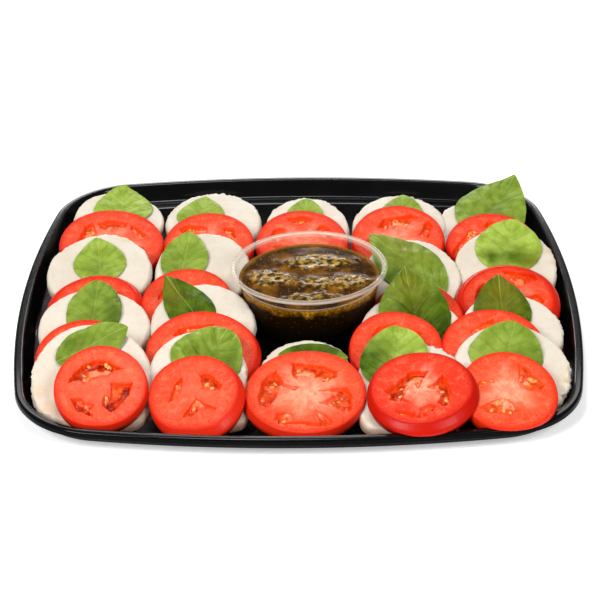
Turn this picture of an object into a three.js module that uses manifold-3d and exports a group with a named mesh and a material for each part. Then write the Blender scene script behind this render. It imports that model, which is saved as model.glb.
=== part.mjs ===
// Caprese salad platter: five columns of shingled servings, each a slice of mozzarella, a basil
// leaf and a slice of tomato, round a clear tub of herb dressing, in a black deli tray.
// Millimetres, +Z up, +X to the right, +Y to the back. The origin is the centre of the tray's base.
import * as THREE from "three";
import { mergeVertices } from "three/addons/utils/BufferGeometryUtils.js";
import Module from "manifold-3d";

const wasm = await Module();
wasm.setup();

// ---- driving dimensions -------------------------------------------------------------------

const GAP = 0.35; // clearance kept between pieces that touch
const SIMPLER = 0.15; // how far a trimmed face may move to lose needless facets
const SETTLE = 0.15; // a cheese's lower edge stands this little clear of the floor

const TRAY = {
  length: 406, // along X, over the rim
  width: 375, // along Y, over the rim
  height: 15.5,
  longBow: 9.4, // how far the middle of a long side stands out
  shortBow: 10,
  cornerRadius: 63,
  longSteps: 4, // facets along a long side
  shortSteps: 4,
  cornerSteps: 5,
  rimWidth: 5.5,
  skirt: 4.6, // depth of the rim's outer skirt
  sheet: 1.3, // thickness of the plastic
  ledge: 2.5, // height of the flat step round the floor
  ledgeOuter: 12, // inset of the step's outer edge, where the wall ends
  ledgeInner: 21.5,
  floor: 1.3, // height of the floor's upper face
};

const TUB = {
  x: 8.4,
  y: -15,
  leanLeft: 0.8, // degrees
  leanBack: 2.6,
  rimRadius: 56.6,
  throatRadius: 53, // outside, just under the rolled rim
  baseRadius: 45,
  height: 43,
  wall: 1,
  beadHeight: 4.2,
  sides: 28,
};

const DRESSING = {
  level: 32.5, // height of its surface above the tub's foot
  sides: 24,
  rings: 6,
  // islands of chopped herb: place, half length, half width and height
  islands: [
    { x: 6, y: 23, long: 25, wide: 10, high: 2.2 },
    { x: -26, y: -1, long: 17, wide: 10, high: 1.9 },
    { x: 20, y: -9, long: 26, wide: 10, high: 2.0 },
    { x: 1, y: -29, long: 17, wide: 7, high: 1.7 },
  ],
};

// Sizes from 0 to 1 are shares of a slice's half width.
const CHEESE = {
  sides: 22,
  face: 0.92, // the flat faces beside the round edge between them
  fullest: -0.12, // where the edge is widest, from -1 at the back face to 1 at the front
  wobble: 0.05, // how far its outline strays from an oval
};

const TOMATO = {
  thickness: 8.5,
  sides: 24, // about; each slice has a multiple of its chambers
  back: 0.97,
  fullest: -0.2,
  wobble: 0.03,
  wall: 0.82, // the outer wall's inside, where the seed chambers begin to sink
  chamberOuter: 0.68, // the chambers' floor, from here
  chamberInner: 0.32, // to here
  chamberDepth: 1,
};

const LEAF = {
  thickness: 0.8,
  room: 1.8, // the space between cheese and tomato that a leaf lies in
  above: 1, // its middle surface over the cheese, where it lies flat
  ripple: 0.8, // height of the waves along its edges
  stations: 7, // facets along
  lanes: 4, // facets across
};

const COLOURS = {
  tray: { color: "#0c0c0d", roughness: 0.22, metalness: 0 },
  tub: { color: "#e9ecec", roughness: 0.08, metalness: 0 },
  dressing: { color: "#3a2408", roughness: 0.2, metalness: 0 },
  mozzarella: { color: "#f3ecdc", roughness: 0.45, metalness: 0 },
  basil: { color: "#4f8a1e", roughness: 0.4, metalness: 0 },
  tomato: { color: "#e23a22", roughness: 0.25, metalness: 0 },
};

// ---- the servings, back to front in each column -----------------------------------------------
// cheese: centre, tilt (lean back from flat), turn (to the left), width across, length up the slope,
// thickness. tomato: how far it lies across and down the slope from the cheese's centre, its extra
// tilt and turn, size, taper from back to front and number of seed chambers. leaf: the place of its
// middle across and up the slope, the turn of its tip from up the slope, size, how pointed it is
// (0.5 is round, 1 is sharp), its camber and the lift of its tip.
const SERVINGS = [
  {
    name: "c1_r1",
    cheese: { x: -142, y: 112, tilt: 9.5, turn: 4, width: 71, length: 76, thick: 10.5 },
    tomato: { across: -4, down: 43, tilt: 3.5, turn: 3, width: 81, length: 82, taper: 0.04, locules: 4 },
    leaf: { across: 4, up: 13, turn: 0, length: 50, width: 46, point: 0.75, camber: 3, lift: 2 },
  },
  {
    name: "c1_r2",
    cheese: { x: -148, y: 24, tilt: 15.5, turn: 2, width: 78, length: 80, thick: 10.5 },
    tomato: { across: 0, down: 46, tilt: 1, turn: 0, width: 72, length: 70, taper: 0.04, locules: 3 },
    leaf: { across: 0, up: 8, turn: -6, length: 46, width: 39, point: 0.75, camber: 3, lift: 2 },
  },
  {
    name: "c1_r3",
    cheese: { x: -145, y: -56, tilt: 15.5, turn: 0, width: 79, length: 80, thick: 10.5 },
    tomato: { across: -2, down: 37, tilt: 4, turn: 0, width: 70, length: 70, taper: 0.04, locules: 4 },
    leaf: { across: 0, up: 16, turn: 3, length: 54, width: 40, point: 0.55, camber: 3, lift: 2 },
  },
  {
    name: "c1_r4",
    cheese: { x: -140, y: -120, tilt: 21.5, turn: 0, width: 82, length: 84, thick: 10.5 },
    tomato: { across: 9, down: 19, tilt: 4, turn: 0, width: 64, length: 64, taper: 0.04, locules: 3 },
    leaf: { across: 0, up: 22, turn: 60, length: 54, width: 34, point: 0.7, camber: 4, lift: 3 },
  },
  {
    name: "c2_r1",
    cheese: { x: -66, y: 106, tilt: 9, turn: 0, width: 76, length: 78, thick: 10.5 },
    tomato: { across: -2, down: 39, tilt: 4.5, turn: 0, width: 70, length: 71, taper: 0.04, locules: 4 },
    leaf: { across: -10, up: 8, turn: 8, length: 44, width: 38, point: 0.75, camber: 3, lift: 1 },
  },
  {
    name: "c2_r2",
    cheese: { x: -71, y: 25, tilt: 16, turn: -2, width: 74, length: 78, thick: 10.5 },
    tomato: { across: -8, down: 44, tilt: 0.5, turn: 0, width: 70, length: 72, taper: 0.04, locules: 4 },
    leaf: { across: -14, up: 10.5, turn: 6, length: 51, width: 36, point: 0.65, camber: 3, lift: 2 },
  },
  {
    name: "c2_r3",
    cheese: { x: -68, y: -53, tilt: 16.5, turn: 0, width: 76, length: 80, thick: 10.5 },
    tomato: { across: 2, down: 37, tilt: 2, turn: 0, width: 81, length: 80, taper: 0.05, locules: 5 },
    leaf: { across: -11, up: 17, turn: -32, length: 62, width: 34, point: 0.9, camber: 3, lift: 2 },
  },
  {
    name: "c2_r4",
    cheese: { x: -68, y: -120, tilt: 18.5, turn: 0, width: 68, length: 80, thick: 10.5 },
    tomato: { across: 1, down: 26, tilt: 3, turn: -5, width: 65, length: 66, taper: 0.1, locules: 3 },
    leaf: { across: 7, up: 16, turn: 30, length: 50, width: 50, point: 0.5, camber: 3, lift: 2 },
  },
  {
    name: "c3_r1",
    cheese: { x: 7, y: 98, tilt: 9, turn: 0, width: 66, length: 76, thick: 10.5 },
    tomato: { across: -4, down: 31, tilt: 3, turn: 0, width: 72, length: 73, taper: 0.04, locules: 5 },
    leaf: { across: -2, up: 11, turn: 4, length: 42, width: 30, point: 0.55, camber: 3, lift: 1 },
  },
  {
    name: "c3_r4",
    cheese: { x: 5, y: -110, tilt: 11, turn: 0, width: 66, length: 66, thick: 10.5 },
    tomato: { across: -1, down: 29, tilt: 1, turn: 0, width: 83, length: 78, taper: 0.03, locules: 6 },
    leaf: { across: 5, up: 14, turn: 94, length: 48, width: 26, point: 0.7, camber: 2, lift: 1 },
  },
  {
    name: "c4_r1",
    cheese: { x: 79, y: 100, tilt: 9, turn: -3, width: 74, length: 78, thick: 10.5 },
    tomato: { across: -1, down: 30, tilt: 4, turn: 0, width: 72, length: 76, taper: 0.04, locules: 5 },
    leaf: { across: 2, up: 13, turn: 0, length: 44, width: 36, point: 0.7, camber: 3, lift: 1 },
  },
  {
    name: "c4_r2",
    cheese: { x: 84, y: 14, tilt: 15, turn: -4, width: 74, length: 78, thick: 10.5 },
    tomato: { across: 4, down: 52, tilt: -1, turn: 0, width: 70, length: 72, taper: 0.04, locules: 5 },
    leaf: { across: -4, up: 11, turn: -46, length: 80, width: 46, point: 0.85, camber: 4, lift: 4 },
  },
  {
    name: "c4_r3",
    cheese: { x: 80, y: -64, tilt: 15, turn: 0, width: 74, length: 76, thick: 10.5 },
    tomato: { across: -12, down: 25, tilt: 1, turn: 0, width: 67, length: 72, taper: 0.04, locules: 4 },
    leaf: { across: 2, up: 19, turn: -8, length: 76, width: 52, point: 0.85, camber: 4, lift: 7 },
  },
  {
    name: "c4_r4",
    cheese: { x: 75, y: -131, tilt: 17, turn: 0, width: 76, length: 78, thick: 10.5 },
    tomato: { across: 7, down: 16, tilt: -4, turn: -4, width: 75, length: 71, taper: 0.1, locules: 5 },
    leaf: { across: -9, up: 20, turn: 8, length: 54, width: 48, point: 0.5, camber: 3, lift: 3 },
  },
  {
    name: "c5_r1",
    cheese: { x: 138, y: 94, tilt: 7, turn: 0, width: 66, length: 74, thick: 10.5 },
    tomato: { across: 10, down: 33, tilt: 6, turn: 0, width: 72, length: 70, taper: 0.04, locules: 4 },
    leaf: { across: 15, up: 22, turn: 32, length: 76, width: 56, point: 0.9, camber: 4, lift: 10 },
  },
  {
    name: "c5_r2",
    cheese: { x: 155, y: 25, tilt: 18, turn: -6, width: 76, length: 80, thick: 10.5 },
    tomato: { across: 2, down: 42, tilt: 0.5, turn: 0, width: 76, length: 74, taper: 0.05, locules: 4 },
    leaf: { across: 1, up: 18, turn: 6, length: 50, width: 50, point: 0.55, camber: 4, lift: 3 },
  },
  {
    name: "c5_r3",
    cheese: { x: 149, y: -65, tilt: 15, turn: -4, width: 73, length: 78, thick: 10.5 },
    tomato: { across: -13, down: 25, tilt: 3, turn: 0, width: 73, length: 74, taper: 0.05, locules: 4 },
    leaf: { across: -6, up: 22, turn: -4, length: 64, width: 42, point: 0.9, camber: 3, lift: 2 },
  },
  {
    name: "c5_r4",
    cheese: { x: 144, y: -118, tilt: 20, turn: -4, width: 82, length: 80, thick: 10.5 },
    tomato: { across: -3, down: 26, tilt: -3, turn: 3, width: 67, length: 68, taper: 0.04, locules: 4 },
    leaf: { across: -3, up: 15, turn: 14, length: 48, width: 50, point: 0.5, camber: 3, lift: 2 },
  },
];

// ---- small helpers --------------------------------------------------------------------------

const degrees = THREE.MathUtils.degToRad;
const smooth = (from, to, value) => THREE.MathUtils.smoothstep(value, from, to);

/** A number from 0 to 1 that depends only on the name and the index. */
function draw(name, index) {
  let hash = 2166136261 ^ index;
  for (const letter of name) {
    hash = Math.imul(hash ^ letter.charCodeAt(0), 16777619);
  }
  hash = Math.imul(hash ^ (hash >>> 15), 2246822507);
  hash = Math.imul(hash ^ (hash >>> 13), 3266489909);
  return ((hash ^ (hash >>> 16)) >>> 0) / 4294967296;
}

function geometryFrom(points, triangles) {
  const geometry = new THREE.BufferGeometry();
  geometry.setAttribute("position", new THREE.Float32BufferAttribute(points.flat(), 3));
  geometry.setIndex(triangles.flat());
  return geometry;
}

/**
 * A closed body made of stacked rings that all have the same number of points. The rings run
 * anticlockwise seen from the end of the stack, and a point closes each end.
 */
function ringStack(first, rings, last) {
  const points = [first, ...rings.flat(), last];
  const count = rings[0].length;
  const triangles = [];
  const at = (ring, step) => 1 + ring * count + (step % count);
  for (let step = 0; step < count; step += 1) {
    triangles.push([0, at(0, step + 1), at(0, step)]);
    for (let ring = 0; ring + 1 < rings.length; ring += 1) {
      triangles.push([at(ring, step), at(ring, step + 1), at(ring + 1, step + 1)]);
      triangles.push([at(ring, step), at(ring + 1, step + 1), at(ring + 1, step)]);
    }
    triangles.push([points.length - 1, at(rings.length - 1, step), at(rings.length - 1, step + 1)]);
  }
  return geometryFrom(points, triangles);
}

// ---- the tray ---------------------------------------------------------------------------------

/** The tray's outline drawn in by a distance: bowed sides and round corners, anticlockwise. */
function trayOutline(inset) {
  const radius = TRAY.cornerRadius - inset;
  const halfX = TRAY.length / 2 - TRAY.cornerRadius;
  const halfY = TRAY.width / 2 - TRAY.cornerRadius;
  const spine = [];
  const addSide = (steps, place, slope) => {
    for (let step = 0; step <= steps; step += 1) {
      const along = 1 - (2 * step) / steps;
      spine.push({ centre: place(along), angle: slope(along) });
    }
  };
  const addCorner = (centre, from, to) => {
    for (let step = 1; step < TRAY.cornerSteps; step += 1) {
      spine.push({ centre, angle: from + ((to - from) * step) / TRAY.cornerSteps });
    }
  };
  const runX = halfX - TRAY.shortBow;
  const runY = halfY - TRAY.longBow;
  const leanLong = Math.atan((2 * TRAY.longBow) / runX);
  const leanShort = Math.atan((2 * TRAY.shortBow) / runY);
  const quarter = Math.PI / 2;
  const back = (t) => [runX * t, halfY - TRAY.longBow * t * t];
  const left = (t) => [-(halfX - TRAY.shortBow * t * t), runY * t];
  const turned = (place) => (t) => place(t).map((value) => -value);
  addSide(TRAY.longSteps, back, (t) => quarter - Math.atan((2 * TRAY.longBow * t) / runX));
  addCorner(back(-1), quarter + leanLong, 2 * quarter - leanShort);
  addSide(TRAY.shortSteps, left, (t) => 2 * quarter - Math.atan((2 * TRAY.shortBow * t) / runY));
  addCorner(left(-1), 2 * quarter + leanShort, 3 * quarter - leanLong);
  addSide(TRAY.longSteps, turned(back), (t) => 3 * quarter - Math.atan((2 * TRAY.longBow * t) / runX));
  addCorner(turned(back)(-1), 3 * quarter + leanLong, 4 * quarter - leanShort);
  addSide(TRAY.shortSteps, turned(left), (t) => 4 * quarter - Math.atan((2 * TRAY.shortBow * t) / runY));
  addCorner(turned(left)(-1), 4 * quarter + leanShort, 5 * quarter - leanLong);
  return spine.map(({ centre, angle }) => [
    centre[0] + radius * Math.cos(angle),
    centre[1] + radius * Math.sin(angle),
  ]);
}

/** One vacuum-formed sheet: underside, rim with its skirt, sloping wall, step and floor. */
function trayGeometry() {
  const { height, sheet, rimWidth, skirt, ledge, ledgeOuter, ledgeInner, floor } = TRAY;
  const ring = (inset, z) => trayOutline(inset).map(([x, y]) => [x, y, z]);
  const rings = [
    ring(ledgeInner + 2.5, 0),
    ring(ledgeInner + 0.5, ledge - sheet),
    ring(ledgeOuter - 0.8, ledge - sheet),
    ring(rimWidth - 0.8, height - sheet),
    ring(sheet + 0.3, height - sheet),
    ring(sheet, height - skirt),
    ring(0, height - skirt),
    ring(0.3, height - 0.9),
    ring(1.3, height),
    ring(rimWidth, height),
    ring(rimWidth + 0.9, height - 0.9),
    ring(ledgeOuter - 0.6, ledge + 1),
    ring(ledgeOuter + 0.6, ledge),
    ring(ledgeInner, ledge),
    ring(ledgeInner + 1.6, floor),
  ];
  return ringStack([0, 0, 0], rings, [0, 0, floor]);
}

// ---- the tub and its dressing -----------------------------------------------------------------

const latheGeometry = (profile, sides) => {
  const geometry = new THREE.LatheGeometry(profile.map(([r, z]) => new THREE.Vector2(r, z)), sides);
  geometry.deleteAttribute("normal");
  geometry.deleteAttribute("uv");
  geometry.rotateX(Math.PI / 2); // the lathe turns round Y, and the tub stands along Z
  return mergeVertices(geometry, 1e-4);
};

/** The outside radius of the tub's wall at a height. */
const tubRadius = (z) =>
  TUB.baseRadius + ((TUB.throatRadius - TUB.baseRadius) * z) / (TUB.height - TUB.beadHeight);

function tubGeometry() {
  const { rimRadius, height, wall, beadHeight } = TUB;
  const throat = height - beadHeight;
  const profile = [
    [0, 0.6],
    [TUB.baseRadius - 4, 0.6],
    [TUB.baseRadius - 3, 0],
    [TUB.baseRadius - 1, 0],
    [tubRadius(2.5), 2.5],
    [tubRadius(throat), throat],
    [rimRadius - 0.3, throat + 0.8],
    [rimRadius, height - 1.5],
    [rimRadius - 1.5, height],
    [rimRadius - 3.2, height - 0.6],
    [tubRadius(throat) - wall, throat],
    [tubRadius(3) - wall, 3],
    [TUB.baseRadius - 4, 1.6],
    [0, 1.6],
  ];
  return latheGeometry(profile, TUB.sides);
}

/** The tub's outside, grown by a margin and filled, for what has to stay clear of it. */
function tubEnvelope(margin) {
  const throat = TUB.height - TUB.beadHeight;
  const profile = [
    [0, -margin],
    [TUB.baseRadius - 1 + margin, -margin],
    [tubRadius(2.5) + margin, 2.5],
    [tubRadius(throat) + margin, throat - margin],
    [TUB.rimRadius + margin, throat - margin],
    [TUB.rimRadius + margin, TUB.height + margin],
    [0, TUB.height + margin],
  ];
  return latheGeometry(profile, TUB.sides);
}

/** The height of the chopped herb over the dressing's level. */
function herbRelief(x, y) {
  let relief = 0;
  for (const island of DRESSING.islands) {
    const far = ((x - island.x) / island.long) ** 2 + ((y - island.y) / island.wide) ** 2;
    relief = Math.max(relief, island.high * Math.exp(-(far ** 1.5)));
  }
  return relief;
}

function dressingGeometry() {
  const { level, sides, rings } = DRESSING;
  const inside = (z) => tubRadius(z) - TUB.wall - GAP;
  const circle = (radius, height) =>
    Array.from({ length: sides }, (_, step) => {
      const angle = (2 * Math.PI * step) / sides;
      const x = radius * Math.cos(angle);
      const y = radius * Math.sin(angle);
      return [x, y, height(x, y)];
    });
  const foot = 1.6 + GAP;
  const stack = [circle(TUB.baseRadius - 5, () => foot), circle(inside(3.4), () => 3.4)];
  for (let ring = rings; ring >= 1; ring -= 1) {
    const radius = (inside(level) * ring) / rings;
    const top = ring === rings ? () => level : (x, y) => level + herbRelief(x, y);
    stack.push(circle(radius, top));
  }
  return ringStack([0, 0, foot], stack, [0, 0, level + herbRelief(0, 0)]);
}

// ---- the slices -----------------------------------------------------------------------------

/** How much a slice's outline stands in or out at an angle: a few gentle waves, drawn by name. */
function wobble(name, angle, amount) {
  let sum = 0;
  for (const [index, waves] of [2, 3, 5].entries()) {
    const phase = 2 * Math.PI * draw(name, index);
    sum += ((0.4 + 0.6 * draw(name, 10 + index)) * Math.cos(waves * angle + phase)) / waves;
  }
  return 1 + amount * sum;
}

/** A ring of a slice: X across, Y up the slope, Z out of its front face. */
function sliceRing(name, size, amount, sides, height) {
  return Array.from({ length: sides }, (_, step) => {
    const angle = (2 * Math.PI * step) / sides;
    const reach = wobble(name, angle, amount);
    const z = typeof height === "function" ? height(angle) : height;
    return [size.x * reach * Math.cos(angle), size.y * reach * Math.sin(angle), z];
  });
}

/** A slice cut from a soft ball: flat faces and a full, round edge. */
function cheeseGeometry(name, cheese, margin = 0) {
  const half = cheese.thick / 2 + margin;
  const scaled = (scale) => ({
    x: (cheese.width / 2) * scale + margin,
    y: (cheese.length / 2) * scale + margin,
  });
  const ring = (scale, z) => sliceRing(name, scaled(scale), CHEESE.wobble, CHEESE.sides, z);
  const rings = [ring(CHEESE.face, -half), ring(1, CHEESE.fullest * half), ring(CHEESE.face, half)];
  return ringStack([0, 0, -half], rings, [0, 0, half]);
}

/** A slice cut across a tomato: skin round the edge and seed chambers sunk in the front face. */
function tomatoGeometry(name, tomato, margin = 0) {
  const half = TOMATO.thickness / 2 + margin;
  const sides = tomato.locules * Math.round(TOMATO.sides / tomato.locules);
  const spin = 2 * Math.PI * draw(name, 20);
  const scaled = (scale) => ({
    x: (tomato.width / 2) * scale + margin,
    y: (tomato.length / 2) * scale + margin,
  });
  const face = 1 - tomato.taper;
  const chamber = (angle) => {
    const open = Math.cos(tomato.locules * angle + spin);
    return half - TOMATO.chamberDepth * smooth(-0.7, 0.5, open);
  };
  const ring = (scale, z) => sliceRing(name, scaled(scale), TOMATO.wobble, sides, z);
  const rings = [ring(TOMATO.back, -half), ring(1, TOMATO.fullest * half), ring(face, half)];
  if (margin === 0) {
    rings.push(
      ring(face * TOMATO.wall, half),
      ring(face * TOMATO.chamberOuter, chamber),
      ring(face * TOMATO.chamberInner, chamber),
    );
  }
  return ringStack([0, 0, -half], rings, [0, 0, half]);
}

// ---- the leaves -----------------------------------------------------------------------------

/** Half the width of a leaf, from 0 to 1, at a place along it from 0 at the stalk to 1 at the tip. */
const leafHalfWidth = (along, point) => Math.sin(Math.PI * along ** 0.85) ** point;

/**
 * A thin leaf over the face of the cheese. It lies flat where the tomato covers it, and its free
 * part rises towards the tip, with a crown across and a wave along its edges.
 */
function leafGeometry(name, { leaf, cheese, tomato }, margin = 0) {
  const { stations, lanes } = LEAF;
  const turn = degrees(leaf.turn);
  const face = cheese.thick / 2;
  const cover = { x: tomato.across, y: -tomato.down };
  const thick = LEAF.thickness / 2 + margin;
  const middle = (along, lane) => {
    const reach = (along - 0.5) * leaf.length;
    const side = (lane / lanes) * 2 - 1;
    const inner = along > 0 && along < 1;
    const half = (leaf.width / 2) * leafHalfWidth(along, leaf.point) + (inner ? margin : 0);
    const out = side * half;
    const x = leaf.across + reach * Math.sin(turn) + out * Math.cos(turn);
    const y = leaf.up + reach * Math.cos(turn) - out * Math.sin(turn);
    const away = Math.hypot((x - cover.x) / (tomato.width / 2), (y - cover.y) / (tomato.length / 2));
    const free = smooth(1, 1.35, away);
    const crown = leaf.camber * (1 - side * side) * leafHalfWidth(along, leaf.point);
    const wave = LEAF.ripple * Math.abs(side) * Math.sin(9 * along + 6 * draw(name, 30) + 2 * side);
    const lift = leaf.lift * smooth(0.35, 1, along);
    return [x, y, face + LEAF.above + free * (crown + wave + lift)];
  };
  const points = [];
  const index = new Map();
  const vertex = (station, lane, side) => {
    const tip = station === 0 || station === stations;
    const key = `${station} ${tip ? 0 : lane} ${side}`;
    if (!index.has(key)) {
      const [x, y, z] = middle(station / stations, tip ? lanes / 2 : lane);
      index.set(key, points.length);
      points.push([x, y, z + side * thick]);
    }
    return index.get(key);
  };
  const triangles = [];
  const add = (a, b, c) => {
    if (a !== b && b !== c && a !== c) {
      triangles.push([a, b, c]);
    }
  };
  const quad = (a, b, c, d) => {
    add(a, b, c);
    add(a, c, d);
  };
  for (let station = 0; station < stations; station += 1) {
    for (let lane = 0; lane < lanes; lane += 1) {
      quad(
        vertex(station, lane, 1),
        vertex(station, lane + 1, 1),
        vertex(station + 1, lane + 1, 1),
        vertex(station + 1, lane, 1),
      );
      quad(
        vertex(station, lane, -1),
        vertex(station + 1, lane, -1),
        vertex(station + 1, lane + 1, -1),
        vertex(station, lane + 1, -1),
      );
    }
    for (const [lane, way] of [[0, 1], [lanes, -1]]) {
      const edge = [
        vertex(station, lane, 1),
        vertex(station + 1, lane, 1),
        vertex(station + 1, lane, -1),
        vertex(station, lane, -1),
      ];
      quad(...(way > 0 ? edge : edge.reverse()));
    }
  }
  return geometryFrom(points, triangles);
}

// ---- putting the platter together -----------------------------------------------------------

function meshOf(name, geometry, colour) {
  const mesh = new THREE.Mesh(geometry, new THREE.MeshStandardMaterial(colour));
  mesh.name = name;
  return mesh;
}

/** The height of a cheese's centre that puts its lowest edge on the tray's floor. */
function restingHeight(cheese) {
  const tilt = degrees(cheese.tilt);
  const foot = (cheese.length / 2) * CHEESE.face * Math.sin(tilt);
  return TRAY.floor + GAP + SETTLE + foot + (cheese.thick / 2) * Math.cos(tilt);
}

/** The height of a tomato's middle over the cheese's, with the closest end just off the leaf. */
function tomatoHeight({ cheese, tomato }) {
  const slope = Math.tan(degrees(tomato.tilt));
  const low = Math.max(-cheese.length / 2, -tomato.down - tomato.length / 2);
  const high = Math.min(cheese.length / 2, -tomato.down + tomato.length / 2);
  const clear = Math.max(-(low + tomato.down) * slope, -(high + tomato.down) * slope);
  return cheese.thick / 2 + LEAF.room + TOMATO.thickness / 2 + clear;
}

const platter = new THREE.Group();
const pieces = []; // the first ones stand, and each later one gives way to those before it

function addPiece(parent, name, build, colour) {
  const mesh = meshOf(name, build(0), colour);
  parent.add(mesh);
  pieces.push({ mesh, grown: build(GAP) });
  return mesh;
}

platter.add(meshOf("tray", trayGeometry(), COLOURS.tray));

const tub = new THREE.Group();
const rise = TUB.baseRadius * Math.sin(degrees(Math.hypot(TUB.leanLeft, TUB.leanBack)));
tub.position.set(TUB.x, TUB.y, TRAY.floor + GAP + rise);
tub.rotation.set(-degrees(TUB.leanBack), -degrees(TUB.leanLeft), 0);
platter.add(tub);
addPiece(tub, "tub", (margin) => (margin ? tubEnvelope(margin) : tubGeometry()), COLOURS.tub);
tub.add(meshOf("dressing", dressingGeometry(), COLOURS.dressing));

const frames = new Map();
for (const { name, cheese } of SERVINGS) {
  const frame = new THREE.Group();
  frame.position.set(cheese.x, cheese.y, restingHeight(cheese));
  frame.rotation.set(degrees(cheese.tilt), 0, degrees(cheese.turn), "ZYX");
  platter.add(frame);
  frames.set(name, frame);
}
for (const serving of [...SERVINGS].reverse()) {
  const { name, tomato } = serving;
  const frame = new THREE.Group();
  frame.position.set(tomato.across, -tomato.down, tomatoHeight(serving));
  frame.rotation.set(degrees(tomato.tilt), degrees(tomato.turn), 0);
  frames.get(name).add(frame);
  addPiece(frame, `tomato_${name}`, (margin) => tomatoGeometry(name, tomato, margin), COLOURS.tomato);
}
for (const serving of SERVINGS) {
  const { name } = serving;
  const build = (margin) => leafGeometry(name, serving, margin);
  addPiece(frames.get(name), `basil_${name}`, build, COLOURS.basil);
}
for (const { name, cheese } of SERVINGS) {
  const build = (margin) => cheeseGeometry(name, cheese, margin);
  addPiece(frames.get(name), `mozzarella_${name}`, build, COLOURS.mozzarella);
}

// ---- trimming ---------------------------------------------------------------------------------

/** The space inside the tray, a gap clear of its wall and floor, and open above its rim. */
function trayHollow() {
  const { height, rimWidth, ledge, ledgeOuter, ledgeInner, floor } = TRAY;
  const ring = (inset, z) => trayOutline(inset + GAP).map(([x, y]) => [x, y, z]);
  const rings = [
    ring(ledgeInner + 1.6, floor + GAP),
    ring(ledgeInner, ledge + GAP),
    ring(ledgeOuter + 0.6, ledge + GAP),
    ring(rimWidth + 0.9, height - 0.9),
    ring(rimWidth, height + GAP),
    ring(-60, height + GAP),
    ring(-60, 8 * height),
  ];
  return ringStack([0, 0, floor + GAP], rings, [0, 0, 8 * height]);
}

function solidOf(geometry, matrix) {
  const placed = geometry.clone().applyMatrix4(matrix);
  const mesh = new wasm.Mesh({
    numProp: 3,
    vertProperties: new Float32Array(placed.attributes.position.array),
    triVerts: new Uint32Array(placed.index.array),
  });
  return new wasm.Manifold(mesh);
}

function geometryOf(solid, matrix) {
  const mesh = solid.getMesh();
  const geometry = new THREE.BufferGeometry();
  geometry.setAttribute("position", new THREE.BufferAttribute(new Float32Array(mesh.vertProperties), 3));
  geometry.setIndex(new THREE.BufferAttribute(new Uint32Array(mesh.triVerts), 1));
  return geometry.applyMatrix4(matrix.clone().invert());
}

/** The biggest of the bodies that a cut leaves. */
function largest(solid) {
  return solid.decompose().sort((a, b) => b.volume() - a.volume())[0];
}

platter.updateMatrixWorld(true);
const hollow = solidOf(trayHollow(), new THREE.Matrix4());
const standing = [];
for (const { mesh, grown } of pieces) {
  const matrix = mesh.matrixWorld;
  let solid = solidOf(mesh.geometry, matrix);
  let cut = false;
  if (!solid.subtract(hollow).isEmpty()) {
    solid = solid.intersect(hollow);
    cut = true;
  }
  for (const other of standing) {
    if (!solid.intersect(other).isEmpty()) {
      solid = solid.subtract(other);
      cut = true;
    }
  }
  if (cut) {
    mesh.geometry = geometryOf(largest(solid).simplify(SIMPLER), matrix);
  }
  standing.push(solidOf(grown, matrix));
}

export default platter;
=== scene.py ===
# %% [markdown]
# # A caprese platter
# Eighteen servings lie round a tub of dressing in a black deli tray. Each serving is a slice of
# mozzarella, a basil leaf and a slice of tomato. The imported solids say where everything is; this
# lesson puts a fine surface and a finish in the place of each one.

import bpy
import numpy as np
from mathutils import Matrix, Vector


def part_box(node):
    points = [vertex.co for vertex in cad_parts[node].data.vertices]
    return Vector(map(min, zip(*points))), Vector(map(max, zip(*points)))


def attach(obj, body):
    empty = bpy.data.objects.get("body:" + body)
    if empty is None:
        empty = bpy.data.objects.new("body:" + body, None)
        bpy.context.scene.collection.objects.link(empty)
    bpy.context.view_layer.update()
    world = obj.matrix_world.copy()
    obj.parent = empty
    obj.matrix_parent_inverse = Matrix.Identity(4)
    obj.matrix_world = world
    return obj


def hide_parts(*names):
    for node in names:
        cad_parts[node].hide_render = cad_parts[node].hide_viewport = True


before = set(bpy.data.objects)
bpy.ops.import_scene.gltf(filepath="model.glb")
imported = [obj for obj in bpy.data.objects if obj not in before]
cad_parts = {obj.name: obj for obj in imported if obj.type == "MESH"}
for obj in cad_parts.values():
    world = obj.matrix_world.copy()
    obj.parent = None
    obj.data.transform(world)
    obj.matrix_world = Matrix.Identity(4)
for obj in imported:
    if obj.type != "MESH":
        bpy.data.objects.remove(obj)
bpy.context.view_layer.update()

MM = 0.001

# %% [markdown]
# ## Camera, floor and light
# The platter is seen from the front with a long lens, so its sides stay nearly parallel. The floor
# is a pale sheet that glows, more dimly near the tray than further off. Two soft lights at the
# front, the left one stronger, light the slices. Wet food and black plastic show what they reflect,
# so a smaller light overhead and two bright cards behind the platter put bands of light on the rim,
# the tomatoes and the dressing.

# %% Camera
LENS = 108.0
SENSOR = 36.0
NEAREST_SEEN = 0.01
CAMERA_PLACE = (0.005267, -1.136939, 0.690763)
CAMERA_FORWARD = (-0.00314, 0.85761, -0.51429)
CAMERA_UPWARD = (-0.00188, 0.51429, 0.85762)
ROLL = np.radians(-0.54)


def put_in_scene(name, data):
    """A new object of the scene that shows data: a mesh, a lamp or a camera."""
    shown = bpy.data.objects.new(name, data)
    bpy.context.scene.collection.objects.link(shown)
    return shown


def aim_camera(place, forward, upward, roll):
    """A camera at place: its axes are the view's right, up and back, turned by roll about the view."""
    forward = Vector(forward).normalized()
    right = forward.cross(Vector(upward)).normalized()
    up = right.cross(forward)
    turned_right = right * np.cos(roll) + up * np.sin(roll)
    turned_up = up * np.cos(roll) - right * np.sin(roll)
    data = bpy.data.cameras.new("view")
    data.lens = LENS
    data.sensor_width = SENSOR
    data.clip_start = NEAREST_SEEN
    camera = put_in_scene("view", data)
    axes = Matrix((turned_right, turned_up, -forward)).transposed()
    camera.matrix_world = Matrix.Translation(place) @ axes.to_4x4()
    return camera


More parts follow.
